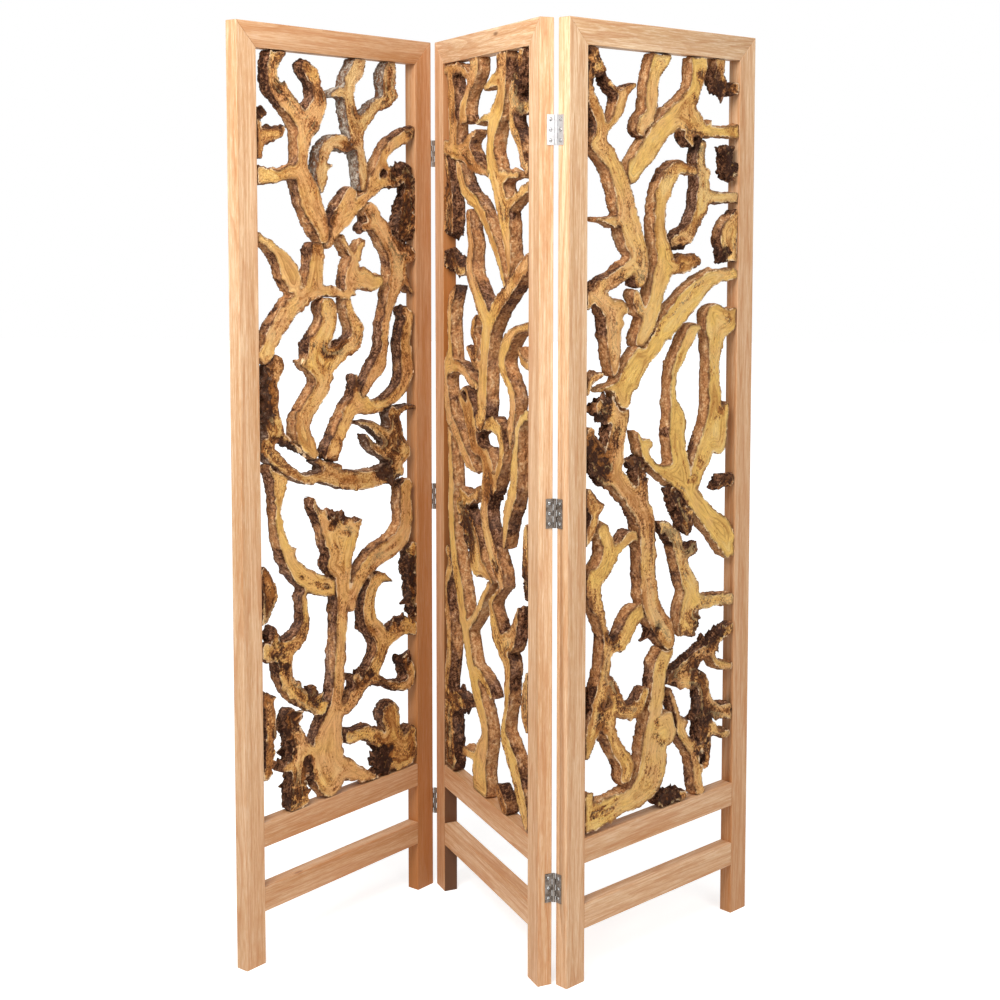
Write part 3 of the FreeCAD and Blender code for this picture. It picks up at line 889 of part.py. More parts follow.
def panel_places():
    """Placements of the three panels about the two hinge axes, centred on the whole row's box."""
    wide = size("panel_width")
    deep = size("frame_depth")
    reach = size("knuckle_diameter") / 2
    headings = [size("middle_heading") + 180 - size("left_fold_angle"), size("middle_heading"),
                size("middle_heading") + 180 - size("right_fold_angle")]
    (along_left, back_left), (along, back), (along_right, back_right) = map(direction, headings)
    left_axis = FreeCAD.Vector(0, 0, 0)
    left_corner = left_axis - along_left * (wide + reach) + back_left * reach
    corner = left_axis + along * reach + back * reach
    right_axis = corner + along * (wide + reach) + back * (deep + reach)
    right_corner = right_axis + along_right * reach - back_right * (deep + reach)
    spots = []
    for start, run, deepward in ((left_corner, along_left, back_left), (corner, along, back),
                                 (right_corner, along_right, back_right)):
        spots += [start, start + run * wide, start + deepward * deep, start + run * wide + deepward * deep]
    xs = [spot.x for spot in spots]
    ys = [spot.y for spot in spots]
    centre = FreeCAD.Vector((min(xs) + max(xs)) / 2, (min(ys) + max(ys)) / 2, 0)
    print("hinge axes", left_axis - centre, right_axis - centre)
    corners = (left_corner, corner, right_corner)
    return [FreeCAD.Placement(place - centre, FreeCAD.Rotation(FreeCAD.Vector(0, 0, 1), heading))
            for place, heading in zip(corners, headings)]


def hinge_centres(fold):
    """A fold's hinge heights: the lowest measured from the floor, the others down from the top."""
    top = size("screen_height")
    return [size(fold + "_hinge_low"), top - size(fold + "_hinge_middle_drop"),
            top - size(fold + "_hinge_high_drop")]


left_place, middle_place, right_place = panel_places()
left_centres = hinge_centres("left")
right_centres = hinge_centres("right")

frame_members("left_panel", left_place, [(1, -1, left_centres)])
frame_members("middle_panel", middle_place, [(-1, -1, left_centres), (1, 1, right_centres)])
frame_members("right_panel", right_place, [(-1, 1, right_centres)])

shaped("left_hinge_outer_leaves", Part.makeCompound(
    [hinge_leaf(1, -1, centre, 1) for centre in left_centres]), left_place)
shaped("left_hinge_inner_leaves", Part.makeCompound(
    [hinge_leaf(-1, -1, centre, 0) for centre in left_centres]), middle_place)
shaped("right_hinge_inner_leaves", Part.makeCompound(
    [hinge_leaf(1, 1, centre, 0) for centre in right_centres]), middle_place)
shaped("right_hinge_outer_leaves", Part.makeCompound(
    [hinge_leaf(-1, 1, centre, 1) for centre in right_centres]), right_place)
shaped("hinge_pins", Part.makeCompound(
    [hinge_pin(-1, -1, centre) for centre in left_centres]
    + [hinge_pin(1, 1, centre) for centre in right_centres]), middle_place)
shaped("left_panel_hinge_screws", Part.makeCompound(
    [screw for centre in left_centres for screw in hinge_screws(1, -1, centre, 0, True)]), left_place)
shaped("middle_panel_hinge_screws", Part.makeCompound(
    [screw for centre in left_centres for screw in hinge_screws(-1, -1, centre, 0, True)]
    + [screw for centre in right_centres for screw in hinge_screws(1, 1, centre, 0, True)]), middle_place)
shaped("right_panel_hinge_screws", Part.makeCompound(
    [screw for centre in right_centres for screw in hinge_screws(-1, 1, centre, 0, True)]), right_place)

branch_slabs("left_panel", LEFT_LIMB_SHARES, left_place)
branch_slabs("middle_panel", MIDDLE_LIMB_SHARES, middle_place)
branch_slabs("right_panel", RIGHT_LIMB_SHARES, right_place)

doc.recompute()
for item in doc.Objects:
    if "Invalid" in item.State or "Error" in item.State:
        raise RuntimeError("object not built: " + item.Label)
for node in nodes:
    if node.Shape.isNull() or not node.Shape.isValid():
        raise RuntimeError("bad shape: " + node.Label)
    node.Shape.exportStep("parts/" + node.Label + ".step")
print(len(nodes), "nodes written")
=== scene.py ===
import math

import bmesh
import bpy
import numpy as np
from mathutils import Matrix, Vector
from mathutils.bvhtree import BVHTree


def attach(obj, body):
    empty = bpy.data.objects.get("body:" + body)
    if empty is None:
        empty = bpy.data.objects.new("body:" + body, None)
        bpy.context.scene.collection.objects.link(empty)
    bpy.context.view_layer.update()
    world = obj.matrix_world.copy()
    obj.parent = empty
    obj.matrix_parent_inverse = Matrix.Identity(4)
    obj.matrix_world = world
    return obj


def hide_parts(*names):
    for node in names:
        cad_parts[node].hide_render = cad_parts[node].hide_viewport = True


bl_info = {
    "name": "Folding root-wood screen",
    "version": (1, 0, 0),
    "blender": (4, 5, 0),
    "location": "3D View > Sidebar > Screen",
    "description": "Dresses a three-panel folding screen filled with sawn slabs of gnarled root wood",
    "category": "Object",
}

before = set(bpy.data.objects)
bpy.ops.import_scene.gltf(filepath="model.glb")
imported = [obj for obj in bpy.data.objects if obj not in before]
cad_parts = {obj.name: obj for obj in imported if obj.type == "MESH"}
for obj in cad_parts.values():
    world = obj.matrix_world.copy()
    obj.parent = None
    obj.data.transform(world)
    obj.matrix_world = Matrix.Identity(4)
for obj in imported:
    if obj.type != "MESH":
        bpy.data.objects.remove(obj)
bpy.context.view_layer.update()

# The panels as the solids have them: headings in degrees, sizes in metres.
PANELS = ("left_panel", "middle_panel", "right_panel")
HEADINGS = {"left_panel": 53.8, "middle_panel": -63.5, "right_panel": 46.2}
MEMBERS = ("left_stile", "right_stile", "top_rail", "lattice_rail", "bottom_rail")
HINGE_NODES = ("left_hinge_outer_leaves", "left_hinge_inner_leaves", "right_hinge_inner_leaves",
               "right_hinge_outer_leaves", "hinge_pins")

PANEL_WIDTH = 0.5
PANEL_HEIGHT = 1.7
FRAME_DEPTH = 0.027
OPENING_LEFT = 0.045
OPENING_WIDTH = 0.41
OPENING_BASE = 0.262
OPENING_HEIGHT = 1.393

# The upper right hinge is paler than the others: between these two heights and between these two
# places across, its plating turns to this grey and carries less tarnish.
BRIGHT_ZINC = (0.60, 0.60, 0.61)
BRIGHT_HINGE_RISE = (1.25, 1.40)
BRIGHT_HINGE_SIDE = (0.0, 0.05)
SCUFF_COLOUR = (0.72, 0.71, 0.69)
# The painted shade of the screws' slots and countersinks.
RECESS_SHADE_COLOUR = (0.02, 0.017, 0.015)

# Fixed colours of the softwood and of the root wood.
FIBRE_SHINE = (1.0, 0.86, 0.66)
TIMBER_PORE = (0.30, 0.13, 0.05)
TIMBER_KNOT = (0.16, 0.065, 0.025)
# The deeper orange that darker members and painted shade turn to, and a painted shadow beyond it.
TIMBER_DEEP = (0.40, 0.132, 0.024)
TIMBER_SHADOW = (0.07, 0.03, 0.015)
PALE_REDDISH = (0.95, 0.55, 0.235)
PALE_GREY = (0.62, 0.52, 0.40)
ROOT_LINE = (0.44, 0.15, 0.030)
DARK_STREAK = (0.47, 0.175, 0.040)
PALE_STREAK = (1.0, 0.74, 0.34)
ROOT_PORE = (0.24, 0.080, 0.022)
SPLIT_COLOUR = (0.13, 0.045, 0.015)
# A painted highlight along the rims of sawn faces.
RIM_HIGHLIGHT = (0.92, 0.70, 0.46)
COOL_BARK = (0.27, 0.185, 0.150)

# Grain: its fine lines and broad bands to the metre, and how far both are drawn out along it.
TIMBER_GRAIN = (300.0, 46.0, 22.0)
ROOT_GRAIN = (300.0, 80.0, 11.0)
PORES_PER_LINE = 2.4

# Drawn-out patterns, by how many come to a metre along the grain and in the two ways across it.
FIBRES = (26.0, 520.0, 520.0)
RING_SWINGS = (1.1, 30.0, 30.0)
RINGS_PER_SWING = 9.0
STREAKS = (7.0, 62.0, 40.0)
SPLIT_LINES = (9.0, 150.0, 60.0)

# Knots in the timber, how they are drawn out, and how patches of bark are squashed.
KNOTS_PER_METRE = 17.0
KNOT_SHAPE = (0.35, 1.0, 1.0)
BARK_SHAPE = (1.0, 2.8, 1.0)

# How deep the timber's lines and the roots' surface look, in metres.
TIMBER_RELIEF = 0.0006
ROOT_RELIEF = 0.0030

# Distances from a sawn face's rim at which its colours start and end, below zero on the bark: the rim's
# painted highlight, its painted shade, and the bark's dark edge, which is partly painted shade.
RIM_HIGHLIGHT_WIDTH = (0.0018, 0.0036)
RIM_SHADE_WIDTH = (0.0012, 0.0062)
EDGE_SHADE_WIDTH = (-0.0050, -0.0010)

# How plain solids are worked into worn timber and root wood, in metres.
MERGE_DISTANCE = 0.00001
SHORTEST_WORN_EDGE = 0.022
NEAR_WALL = 0.0015
BARK_OVERHANG = (0.001, 0.012)
BARK_INSET = 0.0014
SPIKE_REACH = 0.008
BURL_SPIKE_REACH = 0.030
BURL_HOLLOW = 0.0042
SAWN_WAVE = 0.0003

# How far the roots' grain wanders, and how far the grain shifts from one frame member to the next.
GRAIN_DRIFT = 0.005
GRAIN_STEP = (3.7, 0.83, 1.31)

# Angles in degrees: what counts as flat, which edges wear round, and where shading turns sharp.
FLAT_ANGLE = 1.0
WORN_ANGLE = 30.0
TIMBER_CREASE = 24.0
HINGE_CREASE = 30.0
SCREW_CREASE = 40.0

# Patterns on the roots, by how many of them come to a metre: first those of the shape.
RAGGED_ZONES = 13.0
LUMPS = 52.0
RIDGES = 150.0
SPIKES = (52.0, 70.0, 52.0)
KNOBS = 110.0
SAW_WAVES = 90.0
GRAIN_DRIFTS = 26.0
TONE_CLOUDS = 9.0
MARK_WAVES = 60.0
WARM_CLOUDS = 11.0
WARM_PATCHES = 47.0
FACE_PATCHES = 34.0
SPECKS = 230.0
PITS = 150.0
SPLIT_ZONES = 14.0
BARK_PATCHES = 44.0
BARK_EDGE_WAVES = 95.0
BARE_ZONES = 12.0
COOL_ZONES = 26.0

# How squarely a place faces the panel's front or back: from a side wall to a sawn face.
FACE_TILT = (0.55, 0.85)

# Where the roots' random patterns start, and the step from one root to the next.
FIRST_SEED = 100
SEED_STEP = 31

# Tone before the marks, how far it swings by itself, and the marks' strength and wandering.
PLAIN_TONE = 0.22
TONE_SWING = 0.32
TONE_LIMITS = (-0.78, 1.1)
MARK_STRENGTH = 0.80
MARK_WANDER = 0.014

# A screw head's rise and the radius of its dark ring, a painted shadow in the countersink, as shares
# of its radius, the ring's thickness, the faces round head and shank, and how far slots turn at random.
HEAD_RISE = 0.26
COUNTERSINK_SHADOW_SHARE = 1.16
COUNTERSINK_SHADOW_DEPTH = 0.0003
HEAD_SEGMENTS = 20
SHANK_SEGMENTS = 12
HALF_TURN = 3.1416

# The stage. A lamp has a name, a place, what it looks at, a size, a power in watts and a colour.
WHITE = (1.0, 1.0, 1.0)
FLOOR_SIZE = 28.0
LAMPS = (("key", (-0.7, -1.9, 2.6), (0.0, 0.0, 1.2), 1.3, 71.0, (1.0, 0.98, 0.95)),
         ("fill", (2.0, -2.6, 2.3), (0.0, 0.0, 1.1), 1.8, 32.0, WHITE))

# Where the wood is darker or paler than its limb: a line of places, each a share of the opening's
# width and of its height, the line's half width as a share of the width, and its tone from -1 for
# dark to 1 for pale.
TONE_MARKS = {
    "left_panel": [
        (((0.12, 1.0), (0.05, 0.975), (0.08, 0.95)), 0.10, -1.1),
        (((0.14, 0.955), (0.27, 0.93)), 0.035, -0.8),
        (((0.30, 0.985), (0.36, 0.95)), 0.085, -1.0), (((0.84, 1.0), (0.85, 0.945)), 0.09, -1.0),
        (((0.60, 0.93), (0.70, 0.945)), 0.035, -0.6), (((0.35, 0.87), (0.34, 0.90)), 0.06, -0.8),
        (((0.55, 0.885),), 0.05, -1.2), (((0.0, 0.92), (0.15, 0.905)), 0.04, -0.8),
        (((0.92, 0.85), (0.94, 0.77)), 0.13, -1.5), (((0.93, 0.92), (0.98, 0.90)), 0.05, -0.8),
        (((0.45, 0.79),), 0.06, -0.9), (((0.70, 0.79),), 0.04, -0.9),
        (((0.10, 0.75), (0.20, 0.71)), 0.08, 0.9), (((0.09, 0.735), (0.13, 0.70)), 0.03, -1.0),
        (((0.33, 0.75),), 0.05, -1.1), (((0.65, 0.77), (0.68, 0.76)), 0.05, -0.9),
        (((0.42, 0.61), (0.50, 0.62)), 0.05, -1.3), (((0.30, 0.62),), 0.04, -0.9),
        (((0.03, 0.59), (0.03, 0.53)), 0.06, -0.9), (((0.10, 0.50), (0.30, 0.465)), 0.03, -0.9),
        (((0.02, 0.49), (0.20, 0.455)), 0.025, -0.5), (((0.75, 0.44), (0.86, 0.42)), 0.05, -1.1),
        (((0.53, 0.55), (0.60, 0.56)), 0.05, -1.1), (((0.85, 0.57), (0.90, 0.66)), 0.05, -0.8),
        (((0.65, 0.49), (0.85, 0.46)), 0.06, -0.6), (((0.83, 0.51), (0.90, 0.48)), 0.05, -0.6),
        (((0.30, 0.40), (0.34, 0.385)), 0.05, -1.1), (((0.44, 0.375), (0.52, 0.380)), 0.045, -1.6),
        (((0.02, 0.33), (0.05, 0.28)), 0.06, -0.4), (((0.0, 0.23), (0.12, 0.225), (0.27, 0.245)), 0.09, -0.7),
        (((0.08, 0.25), (0.10, 0.20)), 0.06, -0.7), (((0.16, 0.19), (0.32, 0.135)), 0.06, -0.75),
        (((0.31, 0.15), (0.36, 0.14)), 0.04, -1.0), (((0.72, 0.31), (0.65, 0.25), (0.67, 0.21)), 0.07, -0.8),
        (((0.80, 0.215), (0.92, 0.228)), 0.04, -0.9),
        (((0.55, 0.12), (0.70, 0.16), (0.85, 0.20)), 0.06, -0.45),
        (((0.60, 0.15), (0.66, 0.155)), 0.04, -1.0), (((0.75, 0.135), (0.95, 0.125)), 0.05, -0.8),
        (((0.92, 0.15),), 0.06, -1.3), (((0.95, 0.30), (0.97, 0.23)), 0.07, -0.9),
        (((0.17, 0.12), (0.15, 0.08)), 0.07, -1.2), (((0.13, 0.02), (0.24, 0.04)), 0.10, -0.9),
        (((0.28, 0.06), (0.27, 0.03)), 0.03, -1.4), (((0.52, 0.08), (0.68, 0.08)), 0.05, -0.6),
        (((0.77, 0.03), (0.74, 0.01)), 0.06, -1.5), (((0.75, 0.10),), 0.04, -0.8),
        (((0.40, 0.05), (0.42, 0.10)), 0.10, 0.2),
        (((0.15, 0.12), (0.14, 0.01), (0.24, 0.02)), 0.10, -0.4), (((0.0, 0.41), (0.03, 0.36)), 0.05, -0.7),
        (((0.82, 0.03), (0.98, 0.01)), 0.08, -0.45), (((0.72, 0.05), (0.76, 0.01)), 0.07, -0.7),
        (((0.20, 0.315), (0.40, 0.291)), 0.006, -0.7),
    ],
    "middle_panel": [
        (((0.10, 0.98), (0.12, 0.93)), 0.07, -0.7), (((0.66, 1.0), (0.72, 0.97)), 0.07, -1.1),
        (((0.86, 0.97), (0.88, 0.92)), 0.07, -0.9), (((0.58, 0.90), (0.56, 0.84)), 0.08, 0.5),
        (((0.70, 0.80), (0.74, 0.79)), 0.06, -1.0), (((0.05, 0.82), (0.06, 0.78)), 0.08, -0.6),
        (((0.08, 0.74), (0.14, 0.71)), 0.11, -1.0), (((0.35, 0.62), (0.37, 0.60)), 0.07, -0.9),
        (((0.50, 0.64), (0.50, 0.56)), 0.09, 0.6), (((0.28, 0.38), (0.32, 0.34)), 0.12, -0.9),
        (((0.55, 0.44), (0.57, 0.42)), 0.07, -1.0), (((0.30, 0.50), (0.36, 0.485)), 0.06, -0.6),
        (((0.46, 0.07), (0.46, 0.03)), 0.10, 0.3), (((0.70, 0.25), (0.72, 0.20)), 0.10, -0.6),
        (((0.30, 0.20), (0.32, 0.14)), 0.12, 0.3), (((0.90, 0.52), (0.90, 0.47)), 0.08, 0.4),
        (((0.85, 0.08), (0.85, 0.04)), 0.08, 0.2), (((0.96, 0.36), (0.95, 0.32)), 0.07, -0.8),
        (((0.30, 0.87), (0.36, 0.84)), 0.06, -0.8), (((0.86, 0.72), (0.90, 0.68)), 0.06, -0.7),
        (((0.12, 0.30), (0.14, 0.24)), 0.07, -0.7), (((0.62, 0.33), (0.64, 0.30)), 0.05, -0.9),
        (((0.03, 0.13), (0.08, 0.02)), 0.20, -1.1), (((0.10, 0.105), (0.26, 0.107)), 0.10, -1.1),
        (((0.49, 0.16), (0.58, 0.147)), 0.06, -1.0),
    ],
    "right_panel": [
        (((0.04, 0.99), (0.07, 0.96)), 0.06, -1.3), (((0.13, 0.955), (0.20, 0.94)), 0.04, -1.0),
        (((0.25, 0.955),), 0.03, -0.8), (((0.03, 0.93), (0.03, 0.90)), 0.05, -0.8),
        (((0.40, 0.99), (0.40, 0.91)), 0.07, 1.0), (((0.74, 0.975), (0.74, 0.96)), 0.04, -1.3),
        (((0.70, 0.945),), 0.03, -0.9), (((0.64, 0.893), (0.70, 0.89)), 0.05, -1.4),
        (((0.85, 0.97), (0.90, 0.96)), 0.07, -0.8), (((0.94, 0.86),), 0.10, -1.8),
        (((0.95, 0.775),), 0.08, 0.6), (((0.92, 0.742),), 0.04, -1.1),
        (((0.47, 0.845), (0.55, 0.86)), 0.05, -0.9), (((0.64, 0.86),), 0.05, -0.7),
        (((0.62, 0.735), (0.72, 0.73)), 0.06, -1.5), (((0.10, 0.71), (0.20, 0.72)), 0.06, -0.9),
        (((0.34, 0.71), (0.33, 0.68)), 0.05, -1.1), (((0.42, 0.637), (0.48, 0.652)), 0.014, -1.3),
        (((0.93, 0.65),), 0.035, -1.1), (((0.12, 0.55), (0.10, 0.53)), 0.07, -1.1),
        (((0.20, 0.515), (0.12, 0.48)), 0.06, -0.9), (((0.03, 0.50), (0.10, 0.46)), 0.07, -1.3),
        (((0.30, 0.48), (0.36, 0.46)), 0.06, -1.0), (((0.53, 0.505),), 0.03, -1.5),
        (((0.92, 0.535), (0.87, 0.52)), 0.035, -1.3), (((0.70, 0.44),), 0.03, -1.0),
        (((0.60, 0.42), (0.66, 0.375)), 0.07, -1.1), (((0.47, 0.38), (0.55, 0.36)), 0.05, -0.8),
        (((0.66, 0.35), (0.72, 0.345)), 0.05, -1.0), (((0.70, 0.25), (0.73, 0.235)), 0.06, -1.0),
        (((0.45, 0.25), (0.42, 0.23)), 0.04, -1.1), (((0.50, 0.27), (0.52, 0.23)), 0.05, -0.7),
        (((0.15, 0.25), (0.20, 0.245)), 0.04, -1.2), (((0.12, 0.16), (0.10, 0.14)), 0.05, -1.2),
        (((0.05, 0.20), (0.02, 0.17)), 0.04, -1.2), (((0.18, 0.19), (0.24, 0.16)), 0.04, -0.8),
        (((0.20, 0.08), (0.27, 0.055)), 0.04, -0.8), (((0.30, 0.15), (0.38, 0.17)), 0.04, -0.6),
        (((0.06, 0.025), (0.20, 0.032)), 0.035, -1.4),
        (((0.47, 0.125), (0.45, 0.105), (0.50, 0.09)), 0.018, -1.5),
        (((0.55, 0.18), (0.70, 0.19), (0.92, 0.22)), 0.06, -0.8), (((0.75, 0.16), (0.78, 0.06)), 0.09, -0.9),
        (((0.80, 0.11), (0.98, 0.11)), 0.05, -0.7), (((0.50, 0.02), (0.60, 0.01)), 0.06, -1.0),
        (((0.88, 0.43), (0.96, 0.435)), 0.06, -0.4), (((0.62, 0.60), (0.55, 0.62)), 0.03, -0.5),
        (((0.45, 0.645), (0.56, 0.665), (0.75, 0.705)), 0.012, -1.1),
        (((0.50, 0.645), (0.62, 0.665)), 0.009, -0.8), (((0.20, 0.56), (0.22, 0.59)), 0.03, -0.4),
        (((0.50, 0.27), (0.60, 0.33), (0.66, 0.38)), 0.03, 0.5), (((0.68, 0.27), (0.72, 0.30)), 0.07, 0.5),
    ],
}

# How each limb differs from plain tan: tone from -1 for dark to 1 for pale, warmth from 0 for
# yellow to 1 for reddish, and weathering from 0 to 1 for grey.
LIMB_LOOKS = {
    "left_panel_crown_fork": (0.22, 0.7, 0.0), "left_panel_grey_limb": (0.3, 0.3, 0.55),
    "left_panel_cross_bough": (0.15, 0.7, 0.05), "left_panel_right_yoke": (0.2, 0.8, 0.0),
    "left_panel_arc_limb": (0.3, 0.5, 0.1), "left_panel_centre_snake": (0.3, 0.4, 0.05),
    "left_panel_long_bough": (-0.2, 0.3, 0.35), "left_panel_sweep_bough": (0.1, 0.5, 0.0),
    "left_panel_lower_arc": (0.15, 0.3, 0.0), "left_panel_tree_trunk": (0.1, 0.6, 0.0),
    "left_panel_arch_root": (-0.2, 0.6, 0.0), "left_panel_edge_knots": (-0.3, 0.6, 0.0),
    "middle_panel_left_stem": (0.15, 0.6, 0.0), "middle_panel_main_trunk": (0.4, 0.4, 0.0),
    "middle_panel_corner_fork": (-0.1, 0.7, 0.0), "middle_panel_wishbone": (0.15, 0.6, 0.0),
    "middle_panel_sweep_column": (0.6, 0.3, 0.0), "middle_panel_left_foot": (0.25, 0.5, 0.0),
    "middle_panel_ring_root": (0.0, 0.4, 0.1), "middle_panel_right_hook": (0.25, 0.6, 0.0),
    "middle_panel_right_sickle": (0.35, 0.3, 0.1), "middle_panel_edge_knots": (-0.2, 0.6, 0.0),
    "right_panel_bird_limb": (0.25, 0.75, 0.0), "right_panel_big_bough": (0.5, 0.15, 0.0),
    "right_panel_loop_limb": (0.5, 0.15, 0.0), "right_panel_post_root": (-0.1, 0.5, 0.2),
    "right_panel_cross_limb": (0.65, 0.1, 0.0), "right_panel_burl_s_limb": (0.0, 0.85, 0.0),
    "right_panel_main_bough": (0.6, 0.05, 0.0), "right_panel_mid_root": (0.0, 0.45, 0.0),
    "right_panel_long_yoke": (0.25, 0.35, 0.0), "right_panel_bottom_sweep": (0.35, 0.4, 0.1),
    "right_panel_right_tangle": (-0.05, 0.6, 0.0), "right_panel_edge_knots": (-0.25, 0.55, 0.0),
}

# How much of each panel's limb walls is tan wood rather than dark bark: partly barkless wood, partly
# painted light where the walls are lit.
BARE_AND_LIT_WALLS = {"left_panel": 0.44, "middle_panel": 0.47, "right_panel": 0.49}

# How much deeper in colour each frame member is than the palest: partly its own tone of wood, partly
# painted shade where it stands back in a fold.
MEMBER_SHADES = {
    "left_panel_right_stile": 0.48, "left_panel_top_rail": 0.40, "left_panel_lattice_rail": 0.15,
    "middle_panel_left_stile": 0.20, "middle_panel_lattice_rail": 0.12, "right_panel_right_stile": 0.20,
    "right_panel_lattice_rail": 0.08, "left_panel_bottom_rail": 0.10,
}

# How much deeper the stiles' faces toward the opening look, where less light comes.
INNER_SHADES = {"left_panel": 0.12, "middle_panel": 0.55, "right_panel": 0.15}

# How much painted shade deepens all timber toward the floor, where less light falls, and one foot's
# inner face that stands in shade.
LOW_SHADE = 0.33
SHADED_FOOT = "middle_panel_left_stile"
FOOT_SHADE = 0.75


def look_size(name, description, value, unit="LENGTH"):
    return bpy.props.FloatProperty(name=name, description=description, default=value, unit=unit,
                                   precision=4)


def look_share(name, description, value):
    return bpy.props.FloatProperty(name=name, description=description, default=value, subtype="FACTOR",
                                   min=0.0, max=2.0)


def look_colour(name, description, value):
    return bpy.props.FloatVectorProperty(name=name, description=description, default=value,
                                         subtype="COLOR", size=3, min=0.0, max=1.0)


class ScreenLooks(bpy.types.PropertyGroup):
    """Sizes and colours of the screen's finishes"""

    edge_round: look_size("Edge rounding", "Width of the worn round on the timber's edges", 0.0012)
    root_detail: look_size("Root detail", "Spacing of the root surface's mesh", 0.0026)
    bark_lumps: look_size("Bark lumps", "How far the bark's broad lumps stand out", 0.0030)
    bark_ridges: look_size("Bark ridges", "How far the bark's fine ridges stand out", 0.0021)
    bark_bulge: look_size("Bark bulge", "How far a root swells between its sawn faces", 0.0012)
    timber_colour: look_colour("Timber", "Pale planed softwood of the frames", (0.77, 0.55, 0.338))
    timber_line: look_colour("Timber line", "Darker growth lines of the softwood", (0.50, 0.205, 0.075))
    pale_root: look_colour("Pale root", "Freshly sawn yellow root wood", (1.0, 0.64, 0.180))
    golden_root: look_colour("Golden root", "Common golden tan of the sawn faces", (0.74, 0.345, 0.085))
    warm_root: look_colour("Warm root", "Reddish tan of some roots", (0.66, 0.295, 0.105))
    grey_root: look_colour("Grey root", "Weathered grey of some roots", (0.47, 0.39, 0.31))
    brown_root: look_colour("Brown root", "Weathered brown root wood", (0.225, 0.095, 0.042))
    dark_root: look_colour("Dark root", "Burls, splits and rot pockets", (0.045, 0.015, 0.007))
    hinge_colour: look_colour("Hinge metal", "Dull zinc plating", (0.25, 0.22, 0.195))
    world_light: look_share("World light", "Strength of the even studio light", 0.45)


def looks():
    return bpy.context.scene.screen_looks


def read_values(items, field, width=1, kind=float):
    """One field of a mesh's vertices, corners or polygons, as an array."""
    values = np.zeros(len(items) * width, kind)
    items.foreach_get(field, values)
    return values.reshape(-1, width) if width > 1 else values


def panel_axes(panel):
    """A panel's front bottom left corner, its direction along and its direction to the back."""
    angle = math.radians(HEADINGS[panel])
    along = np.array((math.cos(angle), math.sin(angle), 0.0))
    back = np.array((-math.sin(angle), math.cos(angle), 0.0))
    places = read_values(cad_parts[panel + "_bottom_rail"].data.vertices, "co", 3)
    centre = (places.max(0) + places.min(0)) / 2
    corner = centre - along * (PANEL_WIDTH / 2) - back * (FRAME_DEPTH / 2)
    corner[2] = 0.0
    return corner, along, back


def to_panel(places, axes):
    """Places told along the panel, toward its back and up."""
    corner, along, back = axes
    moved = places - corner
    return np.stack((moved @ along, moved @ back, moved[:, 2]), axis=1)


def to_row(places, axes):
    """The screen's own places of places told in a panel's directions."""
    corner, along, back = axes
    return (corner + places[:, :1] * along + places[:, 1:2] * back
            + places[:, 2:] * np.array((0.0, 0.0, 1.0)))


def lattice_value(column, row, layer, seed):
    """A repeatable value from -1 to 1 for one corner of the noise's lattice."""
    mixed = (column * 374761393 + row * 668265263 + layer * 1442695041 + seed * 974711) & 0xFFFFFFFF
    mixed = ((mixed ^ (mixed >> 13)) * 1274126177) & 0xFFFFFFFF
    mixed = mixed ^ (mixed >> 16)
    return (mixed & 0xFFFFFF) / float(0xFFFFFF) * 2.0 - 1.0


def smooth_noise(places, seed):
    """Repeatable noise from -1 to 1 that changes over about one unit."""
    cell = np.floor(places).astype(np.int64)
    part = places - cell
    part = part * part * (3.0 - 2.0 * part)
    total = np.zeros(len(places))
    for column in (0, 1):
        for row in (0, 1):
            for layer in (0, 1):
                weight = (np.abs(1 - column - part[:, 0]) * np.abs(1 - row - part[:, 1])
                          * np.abs(1 - layer - part[:, 2]))
                total += weight * lattice_value(cell[:, 0] + column, cell[:, 1] + row,
                                                cell[:, 2] + layer, seed)
    return total


def layered_noise(places, layers, seed):
    """Noise with finer layers over it, each twice as fine and half as strong."""
    total = np.zeros(len(places))
    strength = 1.0
    for layer in range(layers):
        total += strength * smooth_noise(places * 2.0 ** layer, seed + layer)
        strength *= 0.5
    return total


def smooth_step(values, low, high):
    share = np.clip((values - low) / (high - low), 0.0, 1.0)
    return share * share * (3.0 - 2.0 * share)


def write_attribute(mesh, name, values, kind="FLOAT", domain="POINT"):
    attribute = mesh.attributes.new(name, kind, domain)
    field = "vector" if kind == "FLOAT_VECTOR" else "value"
    attribute.data.foreach_set(field, np.asarray(values, np.float32).ravel())


def shown_object(name, mesh, material, body, replaced):
    """A finished mesh as the piece that is seen in a CAD node's place."""
    piece = bpy.data.objects.new(name, mesh)
    bpy.context.scene.collection.objects.link(piece)
    if not mesh.materials:
        mesh.materials.append(material)
    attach(piece, body)
    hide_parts(*replaced)


def feed(tree, socket, value):
    """Link a value into a socket, or set it there."""
    if isinstance(value, bpy.types.NodeSocket):
        tree.links.new(value, socket)
    elif socket.type == "RGBA" and len(value) == 3:
        socket.default_value = (*value, 1.0)
    else:
        socket.default_value = value


def node_in(tree, kind, inputs=None, **settings):
    """A new node with its settings made first and its inputs then set or linked."""
    made = tree.nodes.new(kind)
    for name, value in settings.items():
        setattr(made, name, value)
    for name, value in (inputs or {}).items():
        feed(tree, made.inputs[name], value)
    return made


def new_group(name, kind, sockets_in, sockets_out):
    tree = bpy.data.node_groups.new(name, kind)
    for label, socket_type, value in sockets_in:
        socket = tree.interface.new_socket(label, in_out="INPUT", socket_type=socket_type)
        if value is not None:
            socket.default_value = value
    for label, socket_type in sockets_out:
        tree.interface.new_socket(label, in_out="OUTPUT", socket_type=socket_type)
    return tree, tree.nodes.new("NodeGroupInput"), tree.nodes.new("NodeGroupOutput")


def blend(tree, share, first, second):
    return node_in(tree, "ShaderNodeMix", {0: share, 6: first, 7: second}, data_type="RGBA").outputs[2]


